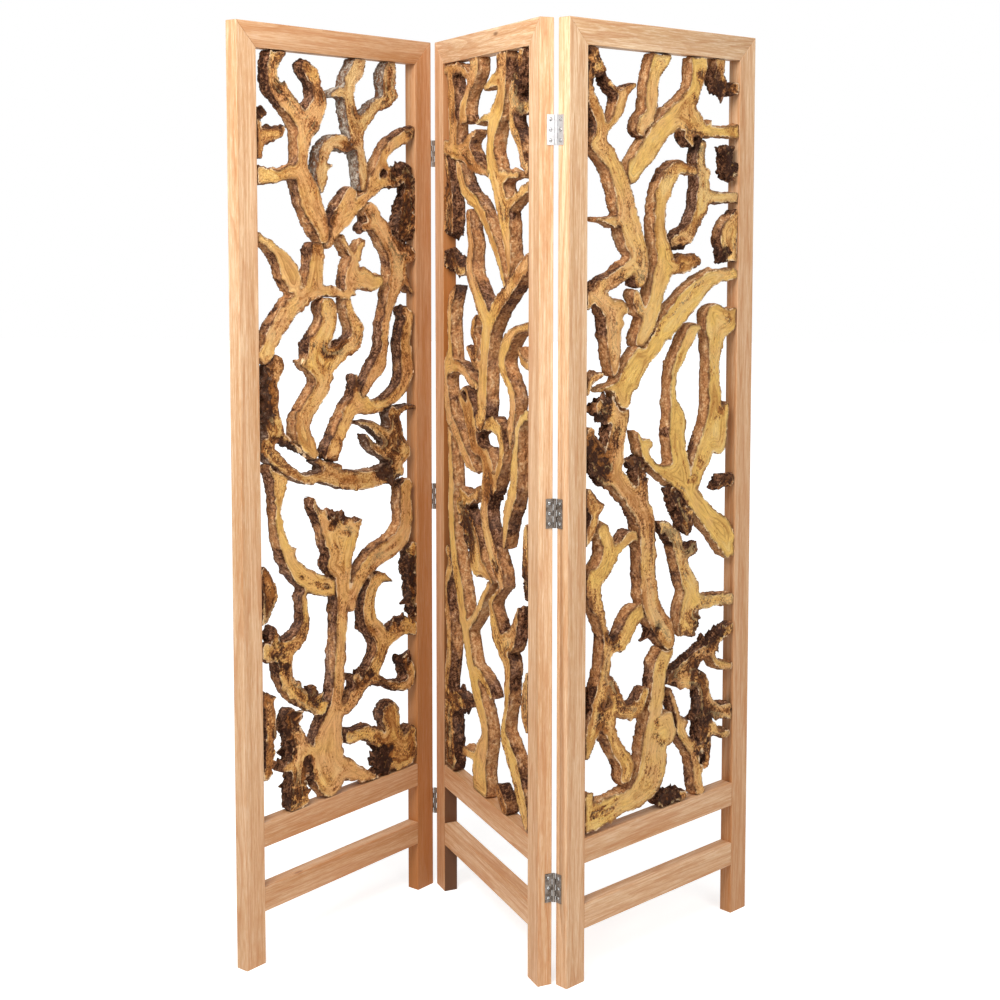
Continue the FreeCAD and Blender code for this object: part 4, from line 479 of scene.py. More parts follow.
def reach(tree, value, low, high, to_low=0.0, to_high=1.0):
    """A value carried from one range to another and held at its ends."""
    made = node_in(tree, "ShaderNodeMapRange", {"Value": value, "From Min": low, "From Max": high,
                                                "To Min": to_low, "To Max": to_high})
    return made.outputs[0]


def maths(tree, operation, first, second=0.0):
    return node_in(tree, "ShaderNodeMath", {0: first, 1: second}, operation=operation).outputs[0]


def times(tree, first, second):
    return maths(tree, "MULTIPLY", first, second)


def plus(tree, first, second):
    return maths(tree, "ADD", first, second)


def minus(tree, first, second):
    return maths(tree, "SUBTRACT", first, second)


def combined(tree, x, y, z):
    return node_in(tree, "ShaderNodeCombineXYZ", {"X": x, "Y": y, "Z": z}).outputs[0]


def stretched(tree, place, factors):
    return node_in(tree, "ShaderNodeVectorMath", {0: place, 1: factors}, operation="MULTIPLY").outputs[0]


def noise(tree, place, scale, detail, roughness=0.5, distortion=0.0):
    made = node_in(tree, "ShaderNodeTexNoise", {"Vector": place, "Scale": scale, "Detail": detail,
                                                "Roughness": roughness, "Distortion": distortion})
    return made.outputs["Fac"]


def bumped(tree, height, strength, distance):
    made = node_in(tree, "ShaderNodeBump", {"Height": height, "Strength": strength, "Distance": distance})
    return made.outputs[0]


def colour_ramp(tree, value, stops):
    made = node_in(tree, "ShaderNodeValToRGB", {"Fac": value})
    ramp = made.color_ramp.elements
    while len(ramp) < len(stops):
        ramp.new(0.5)
    for stop, (position, colour) in zip(ramp, stops):
        stop.position = position
    for stop, (position, colour) in zip(ramp, stops):
        stop.color = (*colour[:3], 1.0)
    return made.outputs["Color"]


def attribute(tree, name, output="Fac"):
    return node_in(tree, "ShaderNodeAttribute", attribute_name=name).outputs[output]


def shader_of(name):
    material = bpy.data.materials.new(name)
    material.use_nodes = True
    tree = material.node_tree
    return material, tree, tree.nodes["Principled BSDF"]


def grain_group():
    """Growth lines drawn out along the first axis of a place: fine lines, broad bands and pores."""
    found = bpy.data.node_groups.get("Wood grain")
    if found:
        return found
    tree, inside, outside = new_group(
        "Wood grain", "ShaderNodeTree",
        [("Place", "NodeSocketVector", None), ("Lines per metre", "NodeSocketFloat", 320.0),
         ("Bands per metre", "NodeSocketFloat", 45.0), ("Stretch", "NodeSocketFloat", 30.0)],
        [("Lines", "NodeSocketFloat"), ("Bands", "NodeSocketFloat"), ("Pores", "NodeSocketFloat")])
    squeeze = maths(tree, "DIVIDE", 1.0, inside.outputs["Stretch"])
    place = stretched(tree, inside.outputs["Place"], combined(tree, squeeze, 1.0, 1.0))
    fine = inside.outputs["Lines per metre"]
    lines = noise(tree, place, fine, 3.0, 0.6)
    bands = noise(tree, place, inside.outputs["Bands per metre"], 2.0, distortion=0.6)
    pores = noise(tree, place, times(tree, fine, PORES_PER_LINE), 1.0)
    tree.links.new(reach(tree, lines, 0.38, 0.66), outside.inputs["Lines"])
    tree.links.new(reach(tree, bands, 0.36, 0.66), outside.inputs["Bands"])
    tree.links.new(reach(tree, pores, 0.62, 0.78), outside.inputs["Pores"])
    return tree


def grain_at(tree, place, lines, bands, stretch):
    """The grain group's masks at a place, with its own counts to the metre."""
    made = node_in(tree, "ShaderNodeGroup", {"Place": place, "Lines per metre": lines,
                   "Bands per metre": bands, "Stretch": stretch}, node_tree=grain_group())
    return made.outputs


def timber_knots(tree, place):
    """A mask of a few small round knots."""
    cells = node_in(tree, "ShaderNodeTexVoronoi", {"Vector": stretched(tree, place, KNOT_SHAPE),
                                                   "Scale": KNOTS_PER_METRE})
    near = reach(tree, cells.outputs["Distance"], 0.045, 0.085, 1.0, 0.0)
    chance = node_in(tree, "ShaderNodeSeparateColor", {"Color": cells.outputs["Color"]}).outputs[0]
    return times(tree, near, reach(tree, chance, 0.80, 0.84))


def timber_material():
    """Pale planed softwood with straight growth lines, warm bands and a few small knots."""
    found = bpy.data.materials.get("Planed softwood")
    if found:
        return found
    look = looks()
    line = look.timber_line
    material, tree, shader = shader_of("Planed softwood")
    place = attribute(tree, "grain_place", "Vector")
    grain = grain_at(tree, place, *TIMBER_GRAIN)
    pale = [min(1.0, part * 1.13 + 0.02) for part in look.timber_colour]
    middle = [part * share for part, share in zip(look.timber_colour, (0.86, 0.74, 0.62))]
    colour = blend(tree, grain["Bands"], pale, middle)
    colour = blend(tree, times(tree, grain["Lines"], 0.36), colour, line)
    fibres = noise(tree, stretched(tree, place, FIBRES), 1.0, 3.0, 0.8)
    colour = blend(tree, reach(tree, fibres, 0.48, 0.66, 0.0, 0.42), colour, line)
    colour = blend(tree, reach(tree, fibres, 0.50, 0.34, 0.0, 0.40), colour, FIBRE_SHINE)
    slow = noise(tree, stretched(tree, place, RING_SWINGS), 1.0, 2.0, distortion=0.4)
    off_ring = maths(tree, "FRACT", times(tree, slow, RINGS_PER_SWING))
    ring_line = times(tree, reach(tree, off_ring, 0.55, 0.95), reach(tree, off_ring, 0.95, 1.0, 1.0, 0.0))
    colour = blend(tree, times(tree, ring_line, 0.50), colour, line)
    colour = blend(tree, times(tree, grain["Pores"], 0.16), colour, TIMBER_PORE)
    colour = blend(tree, times(tree, timber_knots(tree, place), 0.75), colour, TIMBER_KNOT)
    # Deeper colour from the shade attribute: partly each member's own tone, partly painted shade; past 0.95 a
    # painted shadow.
    shade = attribute(tree, "shade")
    colour = blend(tree, reach(tree, shade, 0.0, 1.0), colour, TIMBER_DEEP)
    colour = blend(tree, reach(tree, shade, 0.95, 1.45, 0.0, 0.85), colour, TIMBER_SHADOW)
    tree.links.new(colour, shader.inputs["Base Color"])
    tree.links.new(reach(tree, grain["Lines"], 0.0, 1.0, 0.52, 0.66), shader.inputs["Roughness"])
    shader.inputs["Specular IOR Level"].default_value = 0.35
    tree.links.new(bumped(tree, grain["Lines"], 0.10, TIMBER_RELIEF), shader.inputs["Normal"])
    return material


def sawn_level(tree, tone, grain, patch, speckled):
    """How pale the sawn wood is, from its tone, patches, specks, burl knobs and bands."""
    burl = reach(tree, tone, -0.2, -0.8)
    patchy = times(tree, reach(tree, patch, 0.34, 0.66, -0.60, 0.45), reach(tree, burl, 0.0, 1.0, 1.0, 2.6))
    level = plus(tree, tone, plus(tree, patchy, speckled))
    level = plus(tree, level, times(tree, attribute(tree, "burl_knobs_and_painted_relief"), 0.5))
    level = plus(tree, level, reach(tree, grain["Bands"], 0.0, 1.0, 0.34, -0.46))
    return reach(tree, level, -1.0, 0.70)


def sawn_colour(tree, tone, grain, patch, speckled, pit):
    """Golden sawn wood with grain along the limb, splits, pits, and rims with a painted highlight in some
    patches and painted shade in the rest.
    """
    look = looks()
    dark = look.dark_root
    brown = look.brown_root
    place = attribute(tree, "grain_place", "Vector")
    level = sawn_level(tree, tone, grain, patch, speckled)
    yellow = colour_ramp(tree, level, ((0.02, dark), (0.22, brown), (0.42, look.golden_root),
                                       (0.64, look.pale_root)))
    reddish = colour_ramp(tree, level, ((0.02, dark), (0.22, brown), (0.44, look.warm_root),
                                        (0.70, PALE_REDDISH)))
    greyed = colour_ramp(tree, level, ((0.05, dark), (0.35, brown), (0.75, look.grey_root),
                                       (0.95, PALE_GREY)))
    colour = blend(tree, attribute(tree, "warmth"), yellow, reddish)
    colour = blend(tree, times(tree, attribute(tree, "weather"), 0.55), colour, greyed)
    colour = blend(tree, times(tree, grain["Lines"], 0.40), colour, ROOT_LINE)
    streaks = noise(tree, stretched(tree, place, STREAKS), 1.0, 3.0, 0.6, 0.5)
    colour = blend(tree, reach(tree, streaks, 0.53, 0.64, 0.0, 0.62), colour, DARK_STREAK)
    colour = blend(tree, reach(tree, streaks, 0.46, 0.36, 0.0, 0.35), colour, PALE_STREAK)
    colour = blend(tree, times(tree, grain["Pores"], 0.38), colour, ROOT_PORE)
    colour = blend(tree, times(tree, root_splits(tree, tone, place), 0.70), colour, SPLIT_COLOUR)
    colour = blend(tree, times(tree, pit, 0.85), colour, dark)
    rim = attribute(tree, "rim_distance")
    rim_patch = reach(tree, patch, 0.49, 0.56)
    # Along the rim, a painted highlight in some patches and painted shade in the others.
    rim_highlight = times(tree, rim_patch, reach(tree, rim, *RIM_HIGHLIGHT_WIDTH, 1.0, 0.0))
    colour = blend(tree, times(tree, rim_highlight, 0.75), colour, RIM_HIGHLIGHT)
    rim_shade = times(tree, minus(tree, 1.0, rim_patch), reach(tree, rim, *RIM_SHADE_WIDTH, 1.0, 0.0))
    return blend(tree, times(tree, rim_shade, 0.75), colour, brown)


def root_splits(tree, tone, place):
    """A mask of long drying splits, in some parts of a limb only."""
    lines = noise(tree, stretched(tree, place, SPLIT_LINES), 1.0, 2.0)
    off_line = maths(tree, "ABSOLUTE", minus(tree, lines, 0.56))
    where = noise(tree, attribute(tree, "root_place", "Vector"), SPLIT_ZONES, 2.0)
    split = times(tree, reach(tree, off_line, 0.004, 0.014, 1.0, 0.0), reach(tree, where, 0.50, 0.58))
    return times(tree, split, reach(tree, tone, 0.7, 0.0, 0.55, 1.0))


def bark_colour(tree, spot, tone, patch, speckled, bark_patch):
    """Dark bark with tan walls, partly barkless wood and partly painted light, cool patches, silvering where
    weathered, painted light on crests and painted shade in hollows, and a dark edge line that is partly
    painted shade.
    """
    look = looks()
    dark = look.dark_root
    brown = look.brown_root
    level = plus(tree, bark_patch, times(tree, tone, 0.10))
    # Painted light on the bark's crests and painted shade in its hollows, from the lumps and ridges of the
    # walls.
    level = plus(tree, level, times(tree, attribute(tree, "burl_knobs_and_painted_relief"), 0.15))
    level = plus(tree, level, times(tree, speckled, 0.32))
    bark = colour_ramp(tree, level, ((0.39, dark), (0.52, brown), (0.65, (0.35, 0.160, 0.085)),
                                     (0.82, (0.64, 0.39, 0.24))))
    tan_wall = colour_ramp(tree, level, ((0.26, brown), (0.43, (0.46, 0.190, 0.070)),
                                         (0.62, (0.66, 0.33, 0.135)), (0.84, (0.92, 0.62, 0.34))))
    silvered = colour_ramp(tree, level, ((0.38, brown), (0.50, (0.21, 0.165, 0.13)),
                                         (0.64, look.grey_root), (0.82, (0.68, 0.62, 0.54))))
    # Tan patches on the walls: partly barkless wood, partly painted light.
    bare_and_lit = plus(tree, noise(tree, spot, BARE_ZONES, 6.0, 0.72), attribute(tree, "bare_and_lit_wall"))
    bark = blend(tree, reach(tree, bare_and_lit, 0.98, 1.06), bark, tan_wall)
    cool = reach(tree, noise(tree, spot, COOL_ZONES, 4.0), 0.50, 0.70, 0.0, 0.4)
    bark = blend(tree, cool, bark, blend(tree, 0.55, bark, COOL_BARK))
    bark = blend(tree, reach(tree, attribute(tree, "weather"), 0.15, 0.55, 0.0, 0.9), bark, silvered)
    # A dark line on the walls next to the sawn faces: partly the bark's dark edge, partly painted shade
    # standing for the crevices between limbs.
    edge_shade = times(tree, reach(tree, attribute(tree, "rim_distance"), *EDGE_SHADE_WIDTH, 0.0, 0.85),
                      reach(tree, patch, 0.58, 0.44, 0.35, 1.0))
    return blend(tree, edge_shade, bark, dark)


def root_material():
    """Sawn root wood: golden faces with grain along the limb, pale rims, splits, and rough brown bark."""
    found = bpy.data.materials.get("Gnarled root wood")
    if found:
        return found
    material, tree, shader = shader_of("Gnarled root wood")
    spot = attribute(tree, "root_place", "Vector")
    tone = attribute(tree, "tone")
    grain = grain_at(tree, attribute(tree, "grain_place", "Vector"), *ROOT_GRAIN)
    patch = noise(tree, spot, FACE_PATCHES, 6.0, 0.7)
    speckled = reach(tree, noise(tree, spot, SPECKS, 3.0, 0.75), 0.36, 0.64, -0.62, 0.52)
    pit_start = reach(tree, tone, -0.8, 0.3, 0.52, 0.76)
    pit = reach(tree, noise(tree, spot, PITS, 3.0, 0.7), pit_start, plus(tree, pit_start, 0.05))
    bark_patch = noise(tree, stretched(tree, spot, BARK_SHAPE), BARK_PATCHES, 6.0, 0.74)
    face = sawn_colour(tree, tone, grain, patch, speckled, pit)
    bark = bark_colour(tree, spot, tone, patch, speckled, bark_patch)
    wandering = plus(tree, tone, reach(tree, noise(tree, spot, BARK_EDGE_WAVES, 3.0), 0.3, 0.7, -0.45, 0.45))
    open_face = times(tree, attribute(tree, "sawn_face"), reach(tree, wandering, -0.84, -0.58))
    tree.links.new(blend(tree, open_face, bark, face), shader.inputs["Base Color"])
    shader.inputs["Roughness"].default_value = 0.75
    shader.inputs["Specular IOR Level"].default_value = 0.14
    height = minus(tree, times(tree, grain["Lines"], -0.35), pit)
    height = plus(tree, height, times(tree, bark_patch, 1.2))
    height = plus(tree, height, times(tree, speckled, 0.45))
    tree.links.new(bumped(tree, height, 0.95, ROOT_RELIEF), shader.inputs["Normal"])
    return material


def worn_metal_group():
    """Tarnish that gathers in patches, and small bright scuffs, as masks over a place."""
    found = bpy.data.node_groups.get("Worn metal")
    if found:
        return found
    tree, inside, outside = new_group(
        "Worn metal", "ShaderNodeTree",
        [("Place", "NodeSocketVector", None), ("Patches per metre", "NodeSocketFloat", 110.0),
         ("Tarnish", "NodeSocketFloat", 0.6)],
        [("Tarnish", "NodeSocketFloat"), ("Scuffs", "NodeSocketFloat")])
    place = inside.outputs["Place"]
    count = inside.outputs["Patches per metre"]
    patches = reach(tree, noise(tree, place, count, 4.0, 0.65), 0.40, 0.62)
    scuffs = noise(tree, place, times(tree, count, 4.0), 2.0)
    tree.links.new(times(tree, patches, inside.outputs["Tarnish"]), outside.inputs["Tarnish"])
    tree.links.new(reach(tree, scuffs, 0.60, 0.72), outside.inputs["Scuffs"])
    return tree


def worn_metal(name, plating, tarnish_colour, tarnish, shaded_recess):
    """A plated metal with tarnish, and painted shade in the recesses that its mask marks."""
    found = bpy.data.materials.get(name)
    if found:
        return found
    material, tree, shader = shader_of(name)
    place = node_in(tree, "ShaderNodeTexCoord").outputs["Object"]
    part = node_in(tree, "ShaderNodeSeparateXYZ", {"Vector": place})
    # Between the given heights and places across, the upper right hinge turns paler and less tarnished.
    paler_hinge = times(tree, reach(tree, part.outputs["Z"], *BRIGHT_HINGE_RISE),
                  reach(tree, part.outputs["X"], *BRIGHT_HINGE_SIDE))
    tarnished = reach(tree, paler_hinge, 0.0, 1.0, tarnish, 0.2 * tarnish)
    wear = node_in(tree, "ShaderNodeGroup", {"Place": place, "Tarnish": tarnished},
                   node_tree=worn_metal_group()).outputs
    plated = blend(tree, paler_hinge, plating, BRIGHT_ZINC)
    colour = blend(tree, wear["Tarnish"], plated, tarnish_colour)
    colour = blend(tree, times(tree, wear["Scuffs"], 0.5), colour, SCUFF_COLOUR)
    # Painted shade in the screws' slots and countersinks.
    if shaded_recess:
        colour = blend(tree, attribute(tree, "shaded_recess"), colour, RECESS_SHADE_COLOUR)
    tree.links.new(colour, shader.inputs["Base Color"])
    shader.inputs["Metallic"].default_value = 0.7
    tree.links.new(reach(tree, wear["Tarnish"], 0.0, 0.8, 0.34, 0.60), shader.inputs["Roughness"])
    return material


def hinge_material():
    """Dull zinc plating, tarnished brown in patches."""
    return worn_metal("Zinc plate", looks().hinge_colour, (0.11, 0.082, 0.062), 1.0, False)


def screw_material():
    """Brighter zinc of the screw heads, with painted shade in their slots and countersinks."""
    return worn_metal("Screw zinc", (0.62, 0.64, 0.65), (0.30, 0.28, 0.26), 0.5, True)


def merged_copy(node):
    """A closed copy of a CAD node's loose triangles."""
    work = bmesh.new()
    work.from_mesh(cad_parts[node].data)
    bmesh.ops.remove_doubles(work, verts=work.verts, dist=MERGE_DISTANCE)
    return work


def worn_edges(node):
    """A frame member's mesh with its long edges softly rounded."""
    work = merged_copy(node)
    bmesh.ops.dissolve_limit(work, angle_limit=math.radians(FLAT_ANGLE), verts=work.verts, edges=work.edges)
    sharp = [edge for edge in work.edges
             if len(edge.link_faces) == 2 and edge.calc_face_angle(0.0) > math.radians(WORN_ANGLE)
             and edge.calc_length() > SHORTEST_WORN_EDGE]
    bmesh.ops.bevel(work, geom=sharp, offset=looks().edge_round, segments=2, profile=0.6,
                    affect="EDGES", clamp_overlap=True)
    mesh = bpy.data.meshes.new("shown_" + node)
    work.to_mesh(mesh)
    work.free()
    mesh.shade_smooth()
    mesh.set_sharp_from_angle(angle=math.radians(TIMBER_CREASE))
    return mesh


def member_shade(mesh, node, panel, member):
    """How much deeper in colour each corner of a frame member is: its own tone, and painted shade in folds,
    low down and toward the opening.
    """
    heights = read_values(mesh.vertices, "co", 3)[:, 2]
    corners = read_values(mesh.loops, "vertex_index", kind=np.int64)
    counts = read_values(mesh.polygons, "loop_total", kind=np.int64)
    along = read_values(mesh.polygons, "normal", 3) @ panel_axes(panel)[1]
    inner = np.where(along * (1.0 if member == "left_stile" else -1.0) > 0.7, 1.0, 0.0)
    inner *= INNER_SHADES[panel] if member.endswith("stile") else 0.0
    shade = (MEMBER_SHADES.get(node, 0.0) + LOW_SHADE * (1.0 - heights / PANEL_HEIGHT))[corners]
    if node == SHADED_FOOT:
        shade += FOOT_SHADE * np.repeat(inner > 0.0, counts) * (heights[corners] < OPENING_BASE)
    return np.clip(shade + np.repeat(inner, counts), 0.0, 1.5)


def timber_piece(panel, member, number):
    """One frame member with softly worn edges and its grain's place along its length."""
    node = panel + "_" + member
    mesh = worn_edges(node)
    place = to_panel(read_values(mesh.vertices, "co", 3), panel_axes(panel))
    if member.endswith("stile"):
        place = place[:, (2, 0, 1)]
    write_attribute(mesh, "grain_place", place + number * np.array(GRAIN_STEP), "FLOAT_VECTOR")
    write_attribute(mesh, "shade", member_shade(mesh, node, panel, member), domain="CORNER")
    shown_object("shown_" + node, mesh, timber_material(), panel, [node])


def line_distance(across, up, places):
    """Distance of many places from a line through a few places."""
    if len(places) == 1:
        return np.hypot(across - places[0][0], up - places[0][1])
    nearest = np.full(len(across), 1e9)
    for (x0, z0), (x1, z1) in zip(places, places[1:]):
        run_x = x1 - x0
        run_z = z1 - z0
        share = ((across - x0) * run_x + (up - z0) * run_z) / (run_x * run_x + run_z * run_z)
        share = np.clip(share, 0.0, 1.0)
        nearest = np.minimum(nearest, np.hypot(across - x0 - share * run_x, up - z0 - share * run_z))
    return nearest


def tone_at(panel, local):
    """Tone from the panel's own dark and pale marks, over a slow change of its own."""
    tall = OPENING_HEIGHT / OPENING_WIDTH
    across = (local[:, 0] - OPENING_LEFT) / OPENING_WIDTH
    up = (local[:, 2] - OPENING_BASE) / OPENING_HEIGHT * tall
    seed = 11 + PANELS.index(panel)
    tone = PLAIN_TONE + TONE_SWING * layered_noise(local * TONE_CLOUDS, 2, seed)
    wobble = MARK_WANDER * layered_noise(local * MARK_WAVES, 2, seed + 50)
    for places, width, change in TONE_MARKS[panel]:
        away = line_distance(across, up, [(x, z * tall) for x, z in places]) + wobble
        tone += change * MARK_STRENGTH * (1.0 - smooth_step(away, width * 0.35, width * 1.25))
    return np.clip(tone, *TONE_LIMITS)


def made_plain(piece):
    """The mesh that an object's modifiers make, with the object itself taken away."""
    result = bpy.data.meshes.new_from_object(piece.evaluated_get(bpy.context.evaluated_depsgraph_get()))
    bpy.data.objects.remove(piece)
    return result


def remeshed(node, work):
    """An even skin of small faces over a slab, slightly relaxed."""
    plain = bpy.data.meshes.new("plain_" + node)
    work.to_mesh(plain)
    piece = bpy.data.objects.new("rough_" + node, plain)
    bpy.context.scene.collection.objects.link(piece)
    remesh = piece.modifiers.new("Remesh", "REMESH")
    remesh.mode = "VOXEL"
    remesh.voxel_size = looks().root_detail
    relax = piece.modifiers.new("Relax", "SMOOTH")
    relax.factor = 0.5
    relax.iterations = 1
    mesh = made_plain(piece)
    bpy.data.meshes.remove(plain)
    return mesh


def way_out(places, normals, face, wall_tree, back):
    """Each place's direction out of its limb's nearest side wall, and its distance from it."""
    deep = normals @ back
    flat_normal = normals - deep[:, None] * back
    nearest = np.zeros_like(places)
    for index, place in enumerate(places):
        nearest[index] = wall_tree.find_nearest(Vector(place))[0]
    outward = nearest - places
    outward -= (outward @ back)[:, None] * back
    distance = np.linalg.norm(outward, axis=1)
    outward = np.where((distance > NEAR_WALL)[:, None] & (face > 0.5)[:, None], outward, flat_normal)
    outward /= np.maximum(np.linalg.norm(outward, axis=1), 1e-9)[:, None]
    return outward, distance


def root_mesh(node, panel, seed):
    """A slab turned into a rough-barked root: remeshed, its sides lumped and ridged, its faces kept sawn."""
    look = looks()
    axes = panel_axes(panel)
    back = axes[2]
    work = merged_copy(node)
    mesh = remeshed(node, work)
    walls = [face for face in work.faces if abs(face.normal.dot(Vector(back))) < 0.5]
    wall_tree = BVHTree.FromPolygons([vert.co.copy() for vert in work.verts],
                                     [[vert.index for vert in face.verts] for face in walls])
    work.free()

    places = read_values(mesh.vertices, "co", 3)
    normals = read_values(mesh.vertices, "normal", 3)
    sawn_faces = np.abs(read_values(mesh.polygons, "normal", 3) @ back) > 0.72
    deep = normals @ back
    face = smooth_step(np.abs(deep), *FACE_TILT)
    outward, distance = way_out(places, normals, face, wall_tree, back)
    local = to_panel(places, axes)
    front = local[:, 1].min()
    rear = local[:, 1].max()
    to_plane = np.where(local[:, 1] < (front + rear) / 2, front - local[:, 1], rear - local[:, 1])
    places = places + np.where(np.abs(deep) > 0.3, to_plane, 0.0)[:, None] * back
    depth_share = np.clip(local[:, 1] / FRAME_DEPTH, 0.0, 1.0) * 2.0 - 1.0

    tone = tone_at(panel, local) + LIMB_LOOKS[node][0]
    burl = smooth_step(-tone, 0.2, 0.8)
    rag = smooth_step(smooth_noise(local * RAGGED_ZONES, seed + 9), -0.1, 0.5)
    bark = 1.0 - smooth_step(distance, *BARK_OVERHANG) * face
    lumps = layered_noise(local * LUMPS, 2, seed)
    ridges = layered_noise(local * RIDGES, 2, seed + 7)
    spikes = np.clip(layered_noise(local * np.array(SPIKES), 2, seed + 13) - 0.48, 0.0, 1.0)
    ragged = 0.4 + 0.8 * rag + 1.9 * burl
    push = (look.bark_lumps * lumps * (0.75 + 1.1 * burl) + look.bark_ridges * ridges * ragged
            + (SPIKE_REACH + BURL_SPIKE_REACH * burl) * spikes
            + look.bark_bulge * (1.0 - depth_share ** 2) * (1.0 - face) - BARK_INSET)
    moved = places + outward * (push * bark)[:, None]
    knobbly = layered_noise(local * KNOBS, 3, seed + 4)
    waves = SAWN_WAVE * smooth_noise(local * SAW_WAVES, seed + 3)
    sawn = (waves - burl * BURL_HOLLOW * (0.5 + 0.5 * knobbly)) * face
    moved += back * (sawn * np.sign(deep))[:, None]
    mesh.vertices.foreach_set("co", moved.ravel())
    mesh.update()

    from_plane = np.minimum(np.abs(local[:, 1] - front), np.abs(rear - local[:, 1]))
    drift = GRAIN_DRIFT * np.stack([layered_noise(local * GRAIN_DRIFTS, 2, seed + 20 + axis)
                                    for axis in range(3)], axis=1)
    flow = np.stack((local[:, 0] + local[:, 2], distance, local[:, 1] * 0.3), axis=1)
    warmth = (LIMB_LOOKS[node][1] + 0.45 * smooth_noise(local * WARM_CLOUDS, seed + 41)
              + 0.35 * smooth_noise(local * WARM_PATCHES, seed + 43))
    write_attribute(mesh, "grain_place", flow + drift + seed * 0.37, "FLOAT_VECTOR")
    write_attribute(mesh, "root_place", local + seed * 0.11, "FLOAT_VECTOR")
    write_attribute(mesh, "tone", tone)
    # On the walls, painted light on crests and painted shade in hollows; on the sawn faces, the knobs of
    # burls.
    write_attribute(mesh, "burl_knobs_and_painted_relief", np.where(face > 0.5, knobbly * burl, 0.6 * ridges + 0.5 * lumps))
    write_attribute(mesh, "warmth", np.clip(warmth, 0.0, 1.0))
    write_attribute(mesh, "weather", np.full(len(local), LIMB_LOOKS[node][2]))
    write_attribute(mesh, "rim_distance", np.where(face > 0.3, distance, -from_plane))
    write_attribute(mesh, "bare_and_lit_wall", BARE_AND_LIT_WALLS[panel] + 0.22 * tone)
    write_attribute(mesh, "sawn_face", sawn_faces, domain="FACE")
    mesh.shade_smooth()
    sharpen_between(mesh, sawn_faces)
    return mesh


def sharpen_between(mesh, marked):
    """Mark as sharp every edge between a marked polygon and an unmarked one."""
    edges = read_values(mesh.loops, "edge_index", kind=np.int64)
    of_loop = np.repeat(np.asarray(marked, float), read_values(mesh.polygons, "loop_total", kind=np.int64))
    count = np.bincount(edges, minlength=len(mesh.edges))
    total = np.bincount(edges, weights=of_loop, minlength=len(mesh.edges))
    mesh.edges.foreach_set("use_edge_sharp", (total > 0.0) & (total < count))


def named(tree, name, kind="FLOAT"):
    """A mesh attribute's value inside a Geometry Nodes tree."""
    made = node_in(tree, "GeometryNodeInputNamedAttribute", {"Name": name}, data_type=kind)
    return made.outputs["Attribute"]


def with_recess_shade(tree, shape, value):
    """A shape whose faces carry the mask of painted shade in recesses."""
    return node_in(tree, "GeometryNodeStoreNamedAttribute", {"Geometry": shape, "Name": "shaded_recess",
                   "Value": value}, data_type="FLOAT", domain="FACE")


def changed(tree, shape, way, amount):
    """A shape moved or scaled, as the way's name says."""
    return node_in(tree, "GeometryNodeTransform", {"Geometry": shape, way: amount}).outputs["Geometry"]


def end_tree(tree, shape, inside, outside):
    """Close a tree with real faces in its material."""
    real = node_in(tree, "GeometryNodeRealizeInstances", {"Geometry": shape})
    dressed = node_in(tree, "GeometryNodeSetMaterial", {"Geometry": real.outputs["Geometry"],
                                                        "Material": inside.outputs["Material"]})
    tree.links.new(dressed.outputs["Geometry"], outside.inputs["Geometry"])


def slotted_head(tree, radius, slot_width):
    """A flat dome with a slot cut across it, whose faces in the slot carry the mask of painted shade."""
    dome = node_in(tree, "GeometryNodeMeshUVSphere", {"Segments": HEAD_SEGMENTS, "Rings": HEAD_SEGMENTS // 2,
                                                    "Radius": radius})
    head = changed(tree, dome.outputs["Mesh"], "Scale", combined(tree, 1.0, 1.0, HEAD_RISE))
    slot_size = combined(tree, times(tree, radius, 3.0), slot_width, times(tree, radius, 0.4))
    slot = node_in(tree, "GeometryNodeMeshCube", {"Size": slot_size}).outputs["Mesh"]
    top = combined(tree, 0.0, 0.0, times(tree, radius, HEAD_RISE))
    lifted = changed(tree, slot, "Translation", top)
    cut = node_in(tree, "GeometryNodeMeshBoolean", {"Mesh 1": head, "Mesh 2": lifted},
                  operation="DIFFERENCE")
    position = node_in(tree, "GeometryNodeInputPosition")
    part = node_in(tree, "ShaderNodeSeparateXYZ", {"Vector": position.outputs[0]})
    in_slot = node_in(tree, "FunctionNodeCompare", {"A": maths(tree, "ABSOLUTE", part.outputs["Y"]),
                      "B": times(tree, slot_width, 0.56)}, data_type="FLOAT", operation="LESS_THAN")
    return with_recess_shade(tree, cut.outputs["Mesh"], in_slot.outputs["Result"])


